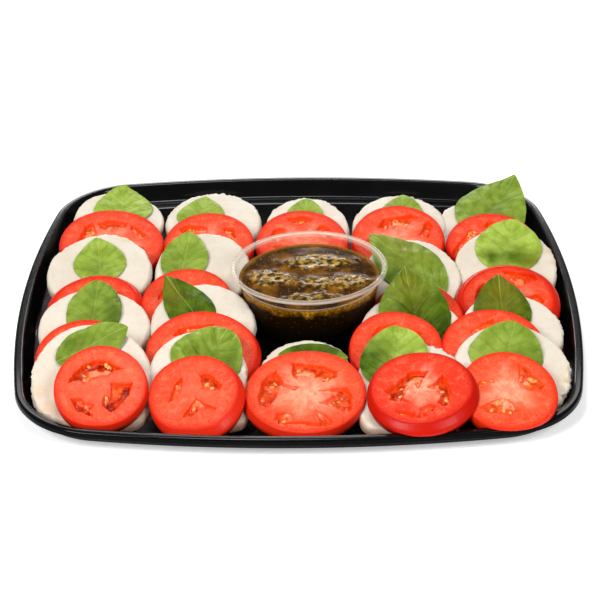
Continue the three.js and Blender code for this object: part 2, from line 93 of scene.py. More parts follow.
bpy.context.scene.camera = aim_camera(CAMERA_PLACE, CAMERA_FORWARD, CAMERA_UPWARD, ROLL)
bpy.context.scene.view_settings.view_transform = "Standard"
print("camera", tuple(round(v, 3) for v in bpy.context.scene.camera.location))

# %% Lights
WORLD_LIGHT = 0.14
# A lamp's place, the place that it faces, its width and height, in metres, and its power in watts.
LAMPS = {
    "front_left": ((-0.95, -1.15, 1.35), (0.0, 0.0, 0.0), (0.7, 0.7), 25.5),
    "front_right": ((0.95, -1.05, 1.3), (0.0, 0.0, 0.0), (0.6, 0.6), 14.0),
    "overhead": ((-0.12, 0.1, 1.3), (0.0, 0.0, 0.0), (0.4, 0.26), 4.9),
    "back_card": ((0.0, 1.5, 0.53), (0.0, 0.0, 0.05), (0.95, 0.36), 9.0),
    "high_card": ((0.0, 1.5, 1.16), (0.0, -0.18, 0.0), (1.3, 0.14), 2.5),
}


def soft_light(name, place, target, size, power):
    """A rectangular lamp of size (wide, high) at place that faces target."""
    data = bpy.data.lights.new(name, "AREA")
    data.shape = "RECTANGLE"
    data.size, data.size_y = size
    data.energy = power
    lamp = put_in_scene(name, data)
    lamp.location = place
    lamp.rotation_euler = (Vector(target) - Vector(place)).to_track_quat("-Z", "Y").to_euler()


world = bpy.data.worlds.new("studio")
world.use_nodes = True
world.node_tree.nodes["Background"].inputs["Color"].default_value = (1.0, 1.0, 1.0, 1.0)
world.node_tree.nodes["Background"].inputs["Strength"].default_value = WORLD_LIGHT
bpy.context.scene.world = world
for name, lamp in LAMPS.items():
    soft_light(name, *lamp)
print("lights", len(bpy.data.lights))

# %% [markdown]
# ## Shader sums and numpy noise
# These helpers serve every piece. `Sum` wraps a socket, so that a shader's arithmetic reads like a
# Python expression, and `Finish` builds a material from such sums. `clouds` is a smooth random field
# that shapes edges and surfaces.


# %% Finishes
class Sum:
    """A number in a shader. Arithmetic on it adds Math nodes to its finish."""

    def __init__(self, finish, socket):
        self.finish = finish
        self.socket = socket

    def maths(self, operation, first, second):
        """A Math node on two values or links."""
        return self.finish.node("ShaderNodeMath", {"operation": operation}, {0: first, 1: second})

    def __add__(self, other):
        return self.maths("ADD", self, other)

    def __sub__(self, other):
        return self.maths("SUBTRACT", self, other)

    def __mul__(self, other):
        return self.maths("MULTIPLY", self, other)

    def __rsub__(self, other):
        return self.maths("SUBTRACT", other, self)

    __radd__ = __add__
    __rmul__ = __mul__


class Finish:
    """A material that is built node by node."""

    def __init__(self, name, colour, **sockets):
        """colour shows in the viewport; sockets are the constant values of the main shader."""
        self.material = bpy.data.materials.new(name)
        self.material.use_nodes = True
        self.material.diffuse_color = (*colour, 1.0)
        self.tree = self.material.node_tree
        self.shader = self.tree.nodes["Principled BSDF"]
        self.shader.inputs["Base Color"].default_value = (*colour, 1.0)
        for socket, value in sockets.items():
            self.shader.inputs[socket.replace("_", " ")].default_value = value

    def node(self, kind, settings=None, inputs=None, output=0):
        """One node: settings are set first, then each input takes a value or a link."""
        made = self.tree.nodes.new(kind)
        for key, value in (settings or {}).items():
            setattr(made, key, value)
        for key, value in (inputs or {}).items():
            if isinstance(value, Sum):
                self.tree.links.new(value.socket, made.inputs[key])
            else:
                made.inputs[key].default_value = value
        return Sum(self, made.outputs[output])

    def attribute(self, name, output="Fac"):
        """What was painted on the mesh under a name: a number, or a vector from the Vector output."""
        return self.node("ShaderNodeAttribute", {"attribute_name": name}, output=output)

    def place(self):
        """Where a point of the piece lies, in metres."""
        return self.node("ShaderNodeTexCoord", output="Object")

    def noise(self, scale, detail=2.0, vector=None, rough=0.5):
        """Smooth noise about 0.5, with scale lumps a metre, or a unit of the vector."""
        inputs = {"Vector": vector or self.place(), "Scale": scale, "Detail": detail, "Roughness": rough}
        return self.node("ShaderNodeTexNoise", inputs=inputs)

    def cells(self, scale, vector=None):
        """Distance to the nearest of many scattered points, from 0 at the point."""
        return self.node("ShaderNodeTexVoronoi", inputs={"Vector": vector or self.place(), "Scale": scale})

    def step(self, value, low, high):
        """A smooth step of value: 0 at low, 1 at high."""
        settings = {"interpolation_type": "SMOOTHSTEP"}
        return self.node("ShaderNodeMapRange", settings, {"Value": value, "From Min": low, "From Max": high})

    def spots(self, scale, detail, low, high, **more):
        """Noise as spots: 0 where it is under low and 1 where it is over high."""
        return self.step(self.noise(scale, detail, **more), low, high)

    def mix(self, share, first, second):
        """A colour between two: share 0 gives the first, share 1 the second."""
        full = {k: v if isinstance(v, Sum) else (*v, 1.0) for k, v in {6: first, 7: second}.items()}
        return self.node("ShaderNodeMix", {"data_type": "RGBA"}, {0: share, **full}, output=2)

    def coats(self, colour, *coats):
        """A colour under further coats, each a (share, colour) that is mixed over the ones before."""
        for share, over in coats:
            colour = self.mix(share, colour, over)
        return colour

    def bump(self, height, distance, strength, normal=None):
        """A surface that seems to rise by height times distance, over what normal already does."""
        inputs = {"Height": height, "Distance": distance, "Strength": strength}
        if normal:
            inputs["Normal"] = normal
        return self.node("ShaderNodeBump", inputs=inputs)

    def use(self, socket, value):
        """Feeds a socket of the main shader with something that changes over the surface."""
        self.tree.links.new(value.socket, self.shader.inputs[socket])


print("helpers ready")


# %% Noise
# Large odd numbers spread a place's bits over a word of 32 bits: one for each axis, one for the seed,
# and one for each time that high bits are folded on to low ones, with the bits that they move by.
WORD = 2**32
AXIS_SPREAD = (374761393, 668265263, 2246822519)
SEED_SPREAD = 3266489917
FOLDS = ((13, 1274126177), (15, 2246822519))
LAST_FOLD = 16


def lattice(cells, seed):
    """A fixed random number from 0 to 1 at each whole-numbered point, by mixing its bits."""
    mask = np.uint64(WORD - 1)
    x, y, z = (cells[..., axis].astype(np.int64).astype(np.uint64) for axis in range(3))
    spread_x, spread_y, spread_z = (np.uint64(number) for number in AXIS_SPREAD)
    mixed = (x * spread_x + y * spread_y + z * spread_z + np.uint64(seed * SEED_SPREAD % WORD)) & mask
    for bits, spread in FOLDS:
        mixed = ((mixed ^ (mixed >> np.uint64(bits))) * np.uint64(spread)) & mask
    return (mixed ^ (mixed >> np.uint64(LAST_FOLD))).astype(float) / WORD


def clouds(points, size, seed=0, octaves=2):
    """Smooth noise from -1 to 1 over points, with lumps of about size, then half that, and so on.

    In each cell of a cubic lattice the value blends between its eight corners' random numbers.
    """
    total = np.zeros(points.shape[:-1])
    weight = 0.0
    for octave in range(octaves):
        scaled = points / (size / 2**octave)
        low = np.floor(scaled)
        part = scaled - low
        part = part * part * (3 - 2 * part)
        value = np.zeros(points.shape[:-1])
        for corner in np.ndindex(2, 2, 2):
            share = np.prod([part[..., a] if corner[a] else 1 - part[..., a] for a in range(3)], axis=0)
            value += share * lattice(low + np.array(corner), seed + octave)
        total += (2 * value - 1) / 2**octave
        weight += 1 / 2**octave
    return total / weight


def smooth(low, high, value):
    """0 below low, 1 above high and a smooth step between."""
    part = np.clip((value - low) / (high - low), 0, 1)
    return part * part * (3 - 2 * part)


def flat_points(x, y, z=0.0):
    """Rows of three from separate coordinates."""
    return np.stack(np.broadcast_arrays(x, y, z), axis=-1).astype(float)


def full_turn(count):
    """Evenly spaced angles round a circle, in radians."""
    return np.linspace(0, 2 * np.pi, count, endpoint=False)


def round_about(radius, angles):
    """Both coordinates of points at a radius and an angle."""
    return radius * np.cos(angles), radius * np.sin(angles)


def turned_from(angles, degrees):
    """How far angles lie from a direction in degrees, in radians from -pi to pi."""
    return (angles - np.radians(degrees) + np.pi) % (2 * np.pi) - np.pi


print("noise of a few points", clouds(np.eye(3) * 5.3, 2.0).round(3))


# %% Meshes
def faces_to_mesh(name, points, quads, triangles):
    """A mesh from point rows (metres) and arrays of four-cornered and three-cornered faces."""
    mesh = bpy.data.meshes.new(name)
    mesh.vertices.add(len(points))
    mesh.vertices.foreach_set("co", np.ascontiguousarray(points, dtype=np.float32).ravel())
    sizes = np.concatenate([np.full(len(quads), 4), np.full(len(triangles), 3)]).astype(np.int32)
    corners = np.concatenate([quads.ravel(), triangles.ravel()]).astype(np.int32)
    mesh.loops.add(len(corners))
    mesh.loops.foreach_set("vertex_index", corners)
    mesh.polygons.add(len(sizes))
    mesh.polygons.foreach_set("loop_start", np.concatenate([[0], np.cumsum(sizes)[:-1]]).astype(np.int32))
    mesh.polygons.foreach_set("loop_total", sizes)
    mesh.update(calc_edges=True)
    mesh.shade_smooth()
    return mesh


def add_piece(name, mesh, finish, slot, *nodes):
    """Shows a mesh as a piece of the platter that rides with it and stands for its solids."""
    mesh.materials.append(finish.material)
    piece = put_in_scene(name, mesh)
    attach(piece, "root")
    if nodes:
        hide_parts(*nodes)
    return piece


def paint(mesh, **values):
    """Keeps numbers or vectors of each vertex as attributes that a finish reads."""
    for name, value in values.items():
        kind, field = ("FLOAT_VECTOR", "vector") if value.ndim == 2 else ("FLOAT", "value")
        layer = mesh.attributes.new(name, kind, "POINT")
        layer.data.foreach_set(field, np.ascontiguousarray(value, dtype=np.float32).ravel())


def turned_faces(rows, columns):
    """Faces of a closed body of rings: a pole, rows of columns points, and a pole.

    Ring points run anticlockwise seen from the last pole, so that the faces point outwards.
    """
    row, column = np.meshgrid(np.arange(rows - 1), np.arange(columns), indexing="ij")
    following = (column + 1) % columns
    near, far = 1 + row * columns, 1 + (row + 1) * columns
    quads = np.stack([near + column, near + following, far + following, far + column], axis=-1)
    ring = np.arange(columns)
    after = (ring + 1) % columns
    last = 1 + (rows - 1) * columns
    first_cap = np.stack([np.zeros_like(ring), 1 + after, 1 + ring], axis=-1)
    last_cap = np.stack([np.full_like(ring, last + columns), last + ring, last + after], axis=-1)
    return quads.reshape(-1, 4), np.concatenate([first_cap, last_cap])


def with_poles(grid):
    """Ring values as one column, with each end ring's mean as its pole."""
    flat = grid.reshape(-1, *grid.shape[2:])
    return np.concatenate([grid[0].mean(axis=0)[None], flat, grid[-1].mean(axis=0)[None]])


def turned_mesh(name, rings, **marks):
    """The closed body of a (rows, columns, 3) array of rings, in metres, painted with its marks."""
    mesh = faces_to_mesh(name, with_poles(rings), *turned_faces(*rings.shape[:2]))
    paint(mesh, **{key: with_poles(value) for key, value in marks.items()})
    return mesh


def on_rings(values, columns):
    """One value for each ring, the same at all its columns."""
    return np.repeat(values[:, None], columns, axis=1)


print("mesh helpers ready")

# %% Floor
FLOOR_REACH = 8.0
FLOOR_HEIGHT = -0.0003
LIT_FROM, LIT_TO = 0.25, 0.9  # the floor glows more from the first to the second distance from the tray
floor_mesh = bpy.data.meshes.new("floor")
corners = [(x * FLOOR_REACH, y * FLOOR_REACH, FLOOR_HEIGHT) for x, y in ((-1, -1), (1, -1), (1, 1), (-1, 1))]
floor_mesh.from_pydata(corners, [], [(0, 1, 2, 3)])
floor = put_in_scene("floor", floor_mesh)
pale = Finish("pale floor", (0.92, 0.92, 0.92), Roughness=0.9, Specular_IOR_Level=0.0, Emission_Strength=1.0)
outward = pale.node("ShaderNodeVectorMath", {"operation": "LENGTH"}, {0: pale.place()}, output=1)
# painted glow: the floor gives off light of its own, dimmer near the tray than further off
glow = pale.mix(pale.step(outward, LIT_FROM, LIT_TO), (0.42, 0.42, 0.42), (0.9, 0.9, 0.9))
pale.use("Emission Color", glow)
floor_mesh.materials.append(pale.material)
print("floor reaches", FLOOR_REACH, "m each way")

# %% [markdown]
# ## The tray
# The tray is one sheet of black plastic, drawn down over a mould: a flat rim with a short skirt, a
# sloping wall, a flat step and the floor. Its outline has bowed sides and round corners. The same
# outline, drawn in by a distance, is carried along the section of the sheet.

# %% Tray outline
tray_low, tray_high = (np.array(corner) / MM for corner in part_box("tray"))
TRAY_LENGTH, TRAY_WIDTH = (tray_high - tray_low)[:2]
CORNER_RADIUS = 63.0
LONG_BOW = 9.4
SHORT_BOW = 10.0
SIDE_POINTS = 40
CORNER_POINTS = 24


def tray_spine():
    """Centres and directions of the outline: bowed sides as parabolas, joined by arcs, anticlockwise."""
    run_x = TRAY_LENGTH / 2 - CORNER_RADIUS - SHORT_BOW
    run_y = TRAY_WIDTH / 2 - CORNER_RADIUS - LONG_BOW
    along = 1 - 2 * np.arange(SIDE_POINTS) / (SIDE_POINTS - 1)
    back = np.stack([run_x * along, TRAY_WIDTH / 2 - CORNER_RADIUS - LONG_BOW * along**2], axis=-1)
    left = np.stack([SHORT_BOW * along**2 - TRAY_LENGTH / 2 + CORNER_RADIUS, run_y * along], axis=-1)
    back_turn = np.pi / 2 - np.arctan(2 * LONG_BOW * along / run_x)
    left_turn = np.pi - np.arctan(2 * SHORT_BOW * along / run_y)
    centres, turns = [], []
    for half_turn in (0, 1):
        sign = 1 - 2 * half_turn
        following = back_turn[0] + np.pi
        for side, turn, after in ((back, back_turn, left_turn[0]), (left, left_turn, following)):
            corner = np.linspace(turn[-1], after, CORNER_POINTS + 2)[1:-1]
            centres += [sign * side, np.repeat(sign * side[-1:], CORNER_POINTS, axis=0)]
            turns += [turn + half_turn * np.pi, corner + half_turn * np.pi]
    return np.concatenate(centres), np.concatenate(turns)


TRAY_CENTRES, TRAY_TURNS = tray_spine()


def tray_ring(inset, height):
    """The outline drawn in by inset, at a height, in millimetres."""
    x, y = round_about(CORNER_RADIUS - inset, TRAY_TURNS)
    return flat_points(TRAY_CENTRES[:, 0] + x, TRAY_CENTRES[:, 1] + y, height)


print("tray", TRAY_LENGTH.round(1), "x", TRAY_WIDTH.round(1), "mm, outline points", len(TRAY_TURNS))


# %% Tray sheet
LONGEST_BEND = 0.48  # a bend takes up at most this share of the line to the next corner


def rounded(section, radius, steps=5):
    """A section of (across, height) points whose corners are cut back and bent round.

    Each corner becomes a quadratic curve between points at most radius away from it on both sides.
    """
    section = np.array(section, dtype=float)
    bent = [section[0]]
    for before, corner, after in zip(section, section[1:], section[2:]):
        ends = []
        for other in (before, after):
            way = other - corner
            ends.append(corner + way * min(LONGEST_BEND, radius / np.linalg.norm(way)))
        for share in np.linspace(0, 1, steps):
            bent.append((1 - share) ** 2 * ends[0] + 2 * share * (1 - share) * corner + share**2 * ends[1])
    bent.append(section[-1])
    return np.array(bent)


# (inset, height) round the sheet, from the middle of the underside to the middle of the floor
TRAY_SECTION = [
    (24.0, 0.0),
    (22.0, 1.2),
    (11.2, 1.2),
    (4.9, 14.2),
    (1.7, 14.2),
    (1.4, 10.9),
    (0.0, 10.9),
    (0.3, 14.6),
    (1.4, 15.5),
    (5.4, 15.5),
    (6.6, 14.4),
    (10.7, 5.4),
    (11.5, 4.1),
    (12.5, 3.2),
    (13.7, 2.7),
    (15.2, 2.5),
    (21.5, 2.5),
    (23.2, 1.3),
]
SHEET_BEND = 0.9
HALF_WAY_IN = (0.5, 0.5, 1.0)
UPPER_FROM, UPPER_TO = 7.2, 8.2  # between these points of the section the glossy upper side starts
tray_rings = np.stack([tray_ring(inset, height) for inset, height in rounded(TRAY_SECTION, SHEET_BEND)])
tray_rings = np.concatenate([tray_rings[:1] * HALF_WAY_IN, tray_rings, tray_rings[-1:] * HALF_WAY_IN])
along_section = np.arange(len(tray_rings)) / len(tray_rings) * len(TRAY_SECTION)
upper_side = on_rings(smooth(UPPER_FROM, UPPER_TO, along_section), len(TRAY_TURNS))
tray_mesh = turned_mesh("deli_tray", tray_rings * MM, upper=upper_side)

black = Finish("black tray plastic", (0.0018, 0.0018, 0.002), IOR=1.12, Coat_Roughness=0.08)
black.use("Coat Weight", black.attribute("upper") * 0.42 + 0.03)
black.use("Roughness", black.spots(42.0, 4.0, 0.3, 0.75) * 0.2 + 0.2)
black.use("Normal", black.bump(black.noise(16.0, 3.0), 0.0006, 0.35))
tray = add_piece("deli_tray", tray_mesh, black, "tray", "tray")
print("tray faces", len(tray.data.polygons))


# %% Resting on the tray
REST_GAP = 0.12
INNER_SURFACE = np.array(TRAY_SECTION[9:])  # from the rim's flat top to the floor


def above_tray(points):
    """Lifts points (metres) that lie under the tray's inner surface on to it.

    The outline is convex, so a point's inset is its least distance to any line that touches it.
    """
    flat = points.reshape(-1, 3) / MM
    normals = np.stack([np.cos(TRAY_TURNS), np.sin(TRAY_TURNS)])
    touch = np.sum((TRAY_CENTRES + CORNER_RADIUS * normals.T) * normals.T, axis=1)
    inset = (touch[None, :] - flat[:, :2] @ normals).min(axis=1)
    flat[:, 2] = np.maximum(flat[:, 2], np.interp(inset, *INNER_SURFACE.T) + REST_GAP)
    return (flat * MM).reshape(points.shape)


print("tray surface ready")

# %% [markdown]
# ## The slices' solids
# A slice's solid is a slab that leans on the one behind it. The direction that most of its area
# faces is its plane, the middle of its extent is its centre, and the hull of its points, seen square
# on, is its outline. The fine slices are drawn on those three.


# %% Reading a slab
SLIVER = 1e-4  # a triangle of a smaller doubled area, in square millimetres, has no sure direction
SAME_WAY = 0.99995  # the cosine of the angle within which two faces look the same way
FACE_DEPTH = 0.05  # corners of a solid that lie this near to its top, in millimetres, are its cut face
LEAST_FACE, MOST_FACE = 0.86, 0.985  # limits of the cut face's share of a slice's size
HULL_LINES = 360
FLATTEST_LINE = 0.2  # a touching line tells of an angle if the cosine between them is over this
CURVE_POINTS = 256
FINEST_WAVE = 7.0


def node_points(node):
    """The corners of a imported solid, in millimetres."""
    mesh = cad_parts[node].data
    points = np.empty(len(mesh.vertices) * 3)
    mesh.vertices.foreach_get("co", points)
    return points.reshape(-1, 3) / MM


def face_directions(node, points):
    """Direction, turned to look up, and doubled area of each triangle of a solid."""
    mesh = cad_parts[node].data
    mesh.calc_loop_triangles()
    corners = np.empty(len(mesh.loop_triangles) * 3, dtype=np.int32)
    mesh.loop_triangles.foreach_get("vertices", corners)
    a, b, c = (points[corners.reshape(-1, 3)[:, k]] for k in range(3))
    normals = np.cross(b - a, c - a)
    areas = np.linalg.norm(normals, axis=1)
    normals, areas = normals[areas > SLIVER], areas[areas > SLIVER]
    normals = normals / areas[:, None]
    return normals * np.sign(normals[:, 2:] + 1e-9), areas


class Slab:
    """Plane, centre and outline of a solid slice, in millimetres: across, up the slope, and out."""

    def __init__(self, node, sideways=None):
        """sideways is a direction that across follows; without it across is level."""
        points = node_points(node)
        normals, areas = face_directions(node, points)
        alike = normals @ normals.T > SAME_WAY
        self.out = normals[np.argmax(alike @ areas)]
        level = np.cross((0, 0, 1), self.out)
        self.across = level if sideways is None else sideways - self.out * (self.out @ sideways)
        self.across /= np.linalg.norm(self.across)
        self.up = np.cross(self.out, self.across)
        self.axes = np.stack([self.across, self.up, self.out])
        local = points @ self.axes.T
        self.centre = (local.min(axis=0) + local.max(axis=0)) / 2
        self.half = (local.max(axis=0) - local.min(axis=0)) / 2
        self.local = local - self.centre
        front = self.local[self.local[:, 2] > self.half[2] - FACE_DEPTH]
        share = np.mean(np.ptp(front[:, :2], axis=0) / 2 / self.half[:2])
        self.face_share = np.clip(share, LEAST_FACE, MOST_FACE)

    def place(self, x, y, z):
        """Points of the slab's own directions as points of the platter, in metres."""
        return (flat_points(x, y, z) + self.centre) @ self.axes * MM

    def reach(self, angles):
        """Distance from the centre to the outline at each angle, as a smooth closed curve.

        The hull's edge lies where no line that touches the hull is closer. Waves of which more than
        about seven go round the slice are faded out, which rounds the corners of the solid's facets.
        """
        turns = full_turn(HULL_LINES)
        touch = (self.local[:, :2] @ np.stack([np.cos(turns), np.sin(turns)])).max(axis=0)
        even = full_turn(CURVE_POINTS)
        facing = np.cos(turns[:, None] - even[None, :])
        edge = touch[:, None] / np.maximum(facing, FLATTEST_LINE)
        edge = np.where(facing > FLATTEST_LINE, edge, np.inf).min(axis=0)
        waves = np.fft.rfft(edge)
        waves *= np.exp(-((np.arange(len(waves)) / FINEST_WAVE) ** 4))
        edge = np.fft.irfft(waves, CURVE_POINTS)
        return np.interp(np.mod(angles, 2 * np.pi), np.append(even, 2 * np.pi), np.append(edge, edge[0]))


print("slab reader ready")

# %% The tub's solid
tub_solid = Slab("tub", np.array([1.0, 0.0, 0.0]))
TUB_HEIGHT = 2 * tub_solid.half[2]
TUB_BASE_RADIUS = 45.0
TUB_FLARE = 8.0 / 38.8  # how much the radius grows for each millimetre of height
TUB_WALL = 1.0
RIM_FROM = 37.0  # the height over the foot where the rolled rim starts


def clear_of_tub(points):
    """Moves points (metres) that lie inside the tub out to its wall, level by level."""
    local = (points.reshape(-1, 3) / MM) @ tub_solid.axes.T - tub_solid.centre
    level = local[:, 2] + TUB_HEIGHT / 2
    radius = np.hypot(local[:, 0], local[:, 1])
    wall = np.where(level < RIM_FROM, TUB_BASE_RADIUS + TUB_FLARE * level, tub_solid.half[0]) + REST_GAP
    push = np.where((level > 0) & (level < TUB_HEIGHT) & (radius < wall), wall / np.maximum(radius, 1), 1.0)
    local[:, :2] *= push[:, None]
    return ((local + tub_solid.centre) @ tub_solid.axes * MM).reshape(points.shape)


tub_lean = np.degrees(np.arccos(tub_solid.out[2]))
print("tub", TUB_HEIGHT.round(1), "mm high, leaning", tub_lean.round(1), "degrees")

# %% Servings
SERVINGS = sorted(node.removeprefix("tomato_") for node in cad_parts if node.startswith("tomato_"))
slab = {node: Slab(node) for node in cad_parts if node.split("_")[0] in ("tomato", "mozzarella")}
SLICE_SEED_STEP = 40


def add_slices(kind, rings_of, finish, first_seed):
    """A turned slice for each serving, in the place of its solid; every slice has a seed of its own."""
    for number, name in enumerate(SERVINGS):
        rings, marks = rings_of(name, first_seed + SLICE_SEED_STEP * number)
        mesh = turned_mesh(f"{kind}_slice_{name}", rings, **marks)
        add_piece(mesh.name, mesh, finish, kind, f"{kind}_{name}")
    print(kind, "slices", len(SERVINGS), "of", len(mesh.polygons), "faces each")


for name in SERVINGS[:3]:
    print(name, "tomato half sizes", slab["tomato_" + name].half.round(1), "mm")

# %% [markdown]
# ## Mozzarella
# The slices are cut from soft balls: a flat wet cut face, a round edge with a skin, and torn bits
# where the knife dragged. The cut face is nearly smooth with shallow layers. A slice is a profile
# carried round its outline, and noise tears its rim where a slice is ragged.

# %% Torn rims, stains and sags
# Where a slice's rim is torn: direction in degrees from across towards up the slope, how far to
# each side in degrees, and by how many millimetres.
TORN = {
    "c1_r1": [(120, 40, 0.8)],
    "c1_r2": [(70, 34, 2.2), (150, 20, 1.0)],
    "c1_r3": [(60, 30, 1.0)],
    "c1_r4": [(200, 40, 1.2), (60, 20, 1.0)],
    "c2_r1": [(75, 45, 2.0), (150, 20, 1.0)],
    "c2_r2": [(60, 30, 0.8)],
    "c2_r3": [(40, 30, 1.0)],
    "c2_r4": [(30, 30, 1.0)],
    "c3_r1": [(120, 40, 1.4), (60, 30, 1.2)],
    "c3_r4": [(60, 26, 2.6), (150, 30, 1.4)],
    "c4_r1": [(70, 40, 2.2), (140, 30, 1.2)],
    "c4_r2": [(40, 40, 1.0)],
    "c4_r3": [(60, 30, 1.0)],
    "c4_r4": [(45, 24, 3.0)],
    "c5_r1": [(120, 30, 1.2)],
    "c5_r2": [(55, 40, 2.4)],
    "c5_r3": [(20, 30, 1.2)],
    "c5_r4": [(345, 34, 3.0), (80, 20, 1.0)],
}
# Brown stains: direction in degrees, share of the radius, and size in millimetres.
STAINS = {
    "c1_r2": [(58, 0.93, 3.0)],
    "c1_r4": [(205, 0.86, 5.0), (230, 0.9, 6.0)],
    "c3_r4": [(40, 0.9, 2.5)],
    "c4_r4": [(40, 0.86, 3.2)],
    "c5_r2": [(28, 0.93, 3.2), (10, 0.95, 3.0)],
    "c5_r4": [(350, 0.9, 2.6)],
}
# Corners that sag out of the round, or lie inside it: direction, spread in degrees and millimetres.
SAGS = {
    "c1_r1": [(48, 24, -4.0)],
    "c1_r4": [(-46, 24, 11.0), (222, 20, 2.5)],
    "c2_r4": [(-48, 24, 14.0)],
    "c4_r4": [(228, 20, 8.0)],
    "c3_r4": [(236, 14, 2.0)],
}
print("torn rims", len(TORN), "stained slices", len(STAINS), "sagging slices", len(SAGS))

# %% Mozzarella profile
CHEESE_COLUMNS = 224
CHEESE_FACE_ROWS = 36
EDGE_ROWS = 16
BACK_ROWS = 4
FACE_EDGE = 0.93  # share of the radius where the flat cut face ends and the round edge starts
MIDDLE_SHARE = 0.004  # share of the radius of the last ring, next to the pole


def cheese_profile():
    """Share of the radius and level of each ring, from the back's middle to the cut face's middle.

    The level runs from -1 at the back to 1 at the face. On the edge the share of the radius follows a
    squared-off circle: 0.93 + 0.07 * (1 - |level| ** 2.6) ** 0.5.
    """
    edge_level = np.sin(np.linspace(-np.pi / 2, np.pi / 2, EDGE_ROWS))
    edge_share = FACE_EDGE + (1 - FACE_EDGE) * np.sqrt(1 - np.abs(edge_level) ** 2.6)
    face_share = FACE_EDGE * (1 - np.linspace(0, 1, CHEESE_FACE_ROWS + 1)[1:]) ** 0.92
    face_share[-1] = MIDDLE_SHARE
    back_share = FACE_EDGE * np.linspace(0.05, 0.9, BACK_ROWS)
    level = np.concatenate([np.full(BACK_ROWS, -1.0), edge_level, np.ones(CHEESE_FACE_ROWS)])
    return np.concatenate([back_share, edge_share, face_share]), level


print("mozzarella rings", len(cheese_profile()[0]), "of", CHEESE_COLUMNS, "points")

# %% Mozzarella shape
TORN_LEAST = 0.32  # how ragged any rim is, in millimetres
RIM_SPREAD = 0.12  # how far in from the edge a torn rim reaches, as a share of the radius
SHADE_LOW, SHADE_HIGH = 4.0, 15.0  # heights between which the painted pinkish shade of a slice's lowest part fades out
CHEESE_SEED = 100


def bells(angles, entries):
    """The sum of a bell for each (direction, spread, size) round the slice."""
    total = np.zeros(np.shape(angles))
    for direction, spread, size in entries:
        total += size * np.exp(-((turned_from(angles, direction) / np.radians(spread)) ** 2))
    return total


def stain_strength(solid, x, y, entries):
    """How strong the stains are at each point: a bell round the middle of each."""
    stain = np.zeros_like(x)
    for direction, place, size in entries:
        angle = np.radians(direction)
        middle_x, middle_y = round_about(place * solid.reach(angle), angle)
        stain = np.maximum(stain, np.exp(-(((x - middle_x) ** 2 + (y - middle_y) ** 2) / size**2)))
    return stain


def mozzarella_rings(name, seed):
    """Rings of a slice and its marks. Noise moves the rim out and in, and ruffles it where it is torn.

    The cut face has shallow layers across the slope, and wet is 1 on the lowest part of a slice, near
    the tray floor, where the finish paints a pinkish shade.
    """
    solid = slab["mozzarella_" + name]
    share, level = cheese_profile()
    share, turn = np.meshgrid(share, full_turn(CHEESE_COLUMNS), indexing="ij")
    level = on_rings(level, CHEESE_COLUMNS)
    radius = share * (solid.reach(turn[0]) + bells(turn[0], SAGS.get(name, [])))
    z = level * solid.half[2]
    here = flat_points(*round_about(radius, turn), z)
    rim = np.exp(-(((share - 1) / RIM_SPREAD) ** 2))
    torn = TORN_LEAST + bells(turn, TORN.get(name, []))
    # torn bits of about 3 mm with crumbs of about 1 mm, and slow waves of about 15 mm
    ragged = clouds(here, 3.2, seed, 3) + 0.5 * clouds(here, 1.1, seed + 9, 2)
    broad = clouds(here, 15.0, seed + 20, 2)
    radius += rim * (torn * ragged + 0.8 * broad)
    front = smooth(0.2, 0.9, level)
    layers = clouds(here * (0.35, 1.3, 1.0), 5.0, seed + 3, 3)
    z += front * (0.15 * layers + 0.5 * clouds(here, 16.0, seed + 4, 1))
    z += front * rim * torn * 0.45 * clouds(here, 2.4, seed + 5, 2)
    x, y = round_about(radius, turn)
    stain = stain_strength(solid, x, y, STAINS.get(name, []))
    placed = clear_of_tub(above_tray(solid.place(x, y, z)))
    # painted shade: heights near the tray floor mark where a darker pinkish colour is painted
    shade_height = placed[..., 2] / MM + 3.0 * clouds(here, 6.0, seed + 6, 2)
    return placed, {"stain": stain, "wet": 1 - smooth(SHADE_LOW, SHADE_HIGH, shade_height)}


print("mozzarella shape ready")

# %% Mozzarella finish
cheese = Finish(
    "fresh mozzarella", (0.74, 0.68, 0.58), Roughness=0.42, Subsurface_Weight=0.35, Subsurface_Scale=0.006,
    Subsurface_Radius=(1.0, 0.72, 0.5), IOR=1.38, Coat_Weight=0.12, Coat_Roughness=0.25,
)
mottle = cheese.spots(38.0, 4.0, 0.3, 0.7)
speckle = cheese.spots(210.0, 3.0, 0.45, 0.75)
tan = cheese.mix(cheese.noise(260.0, 2.0), (0.62, 0.36, 0.13), (0.8, 0.6, 0.34))
stained = cheese.attribute("stain") * cheese.spots(170.0, 3.0, 0.25, 0.6)
milk = cheese.coats(
    cheese.mix(mottle, (0.71, 0.63, 0.51), (0.77, 0.71, 0.6)),
    (speckle * 0.3, (0.62, 0.52, 0.38)),
    # painted pinkish shade on the lowest part of each slice
    (cheese.attribute("wet") * 0.75, (0.66, 0.28, 0.16)),
    (stained * 0.7, tan),
)
cheese.use("Base Color", milk)
cheese.use("Roughness", cheese.spots(60.0, 3.0, 0.3, 0.7) * 0.2 + 0.33)
pits = cheese.bump(cheese.cells(520.0), 0.0003, 0.35)
cheese.use("Normal", cheese.bump(cheese.noise(130.0, 5.0, rough=0.6), 0.0007, 0.5, pits))

add_slices("mozzarella", mozzarella_rings, cheese, CHEESE_SEED)
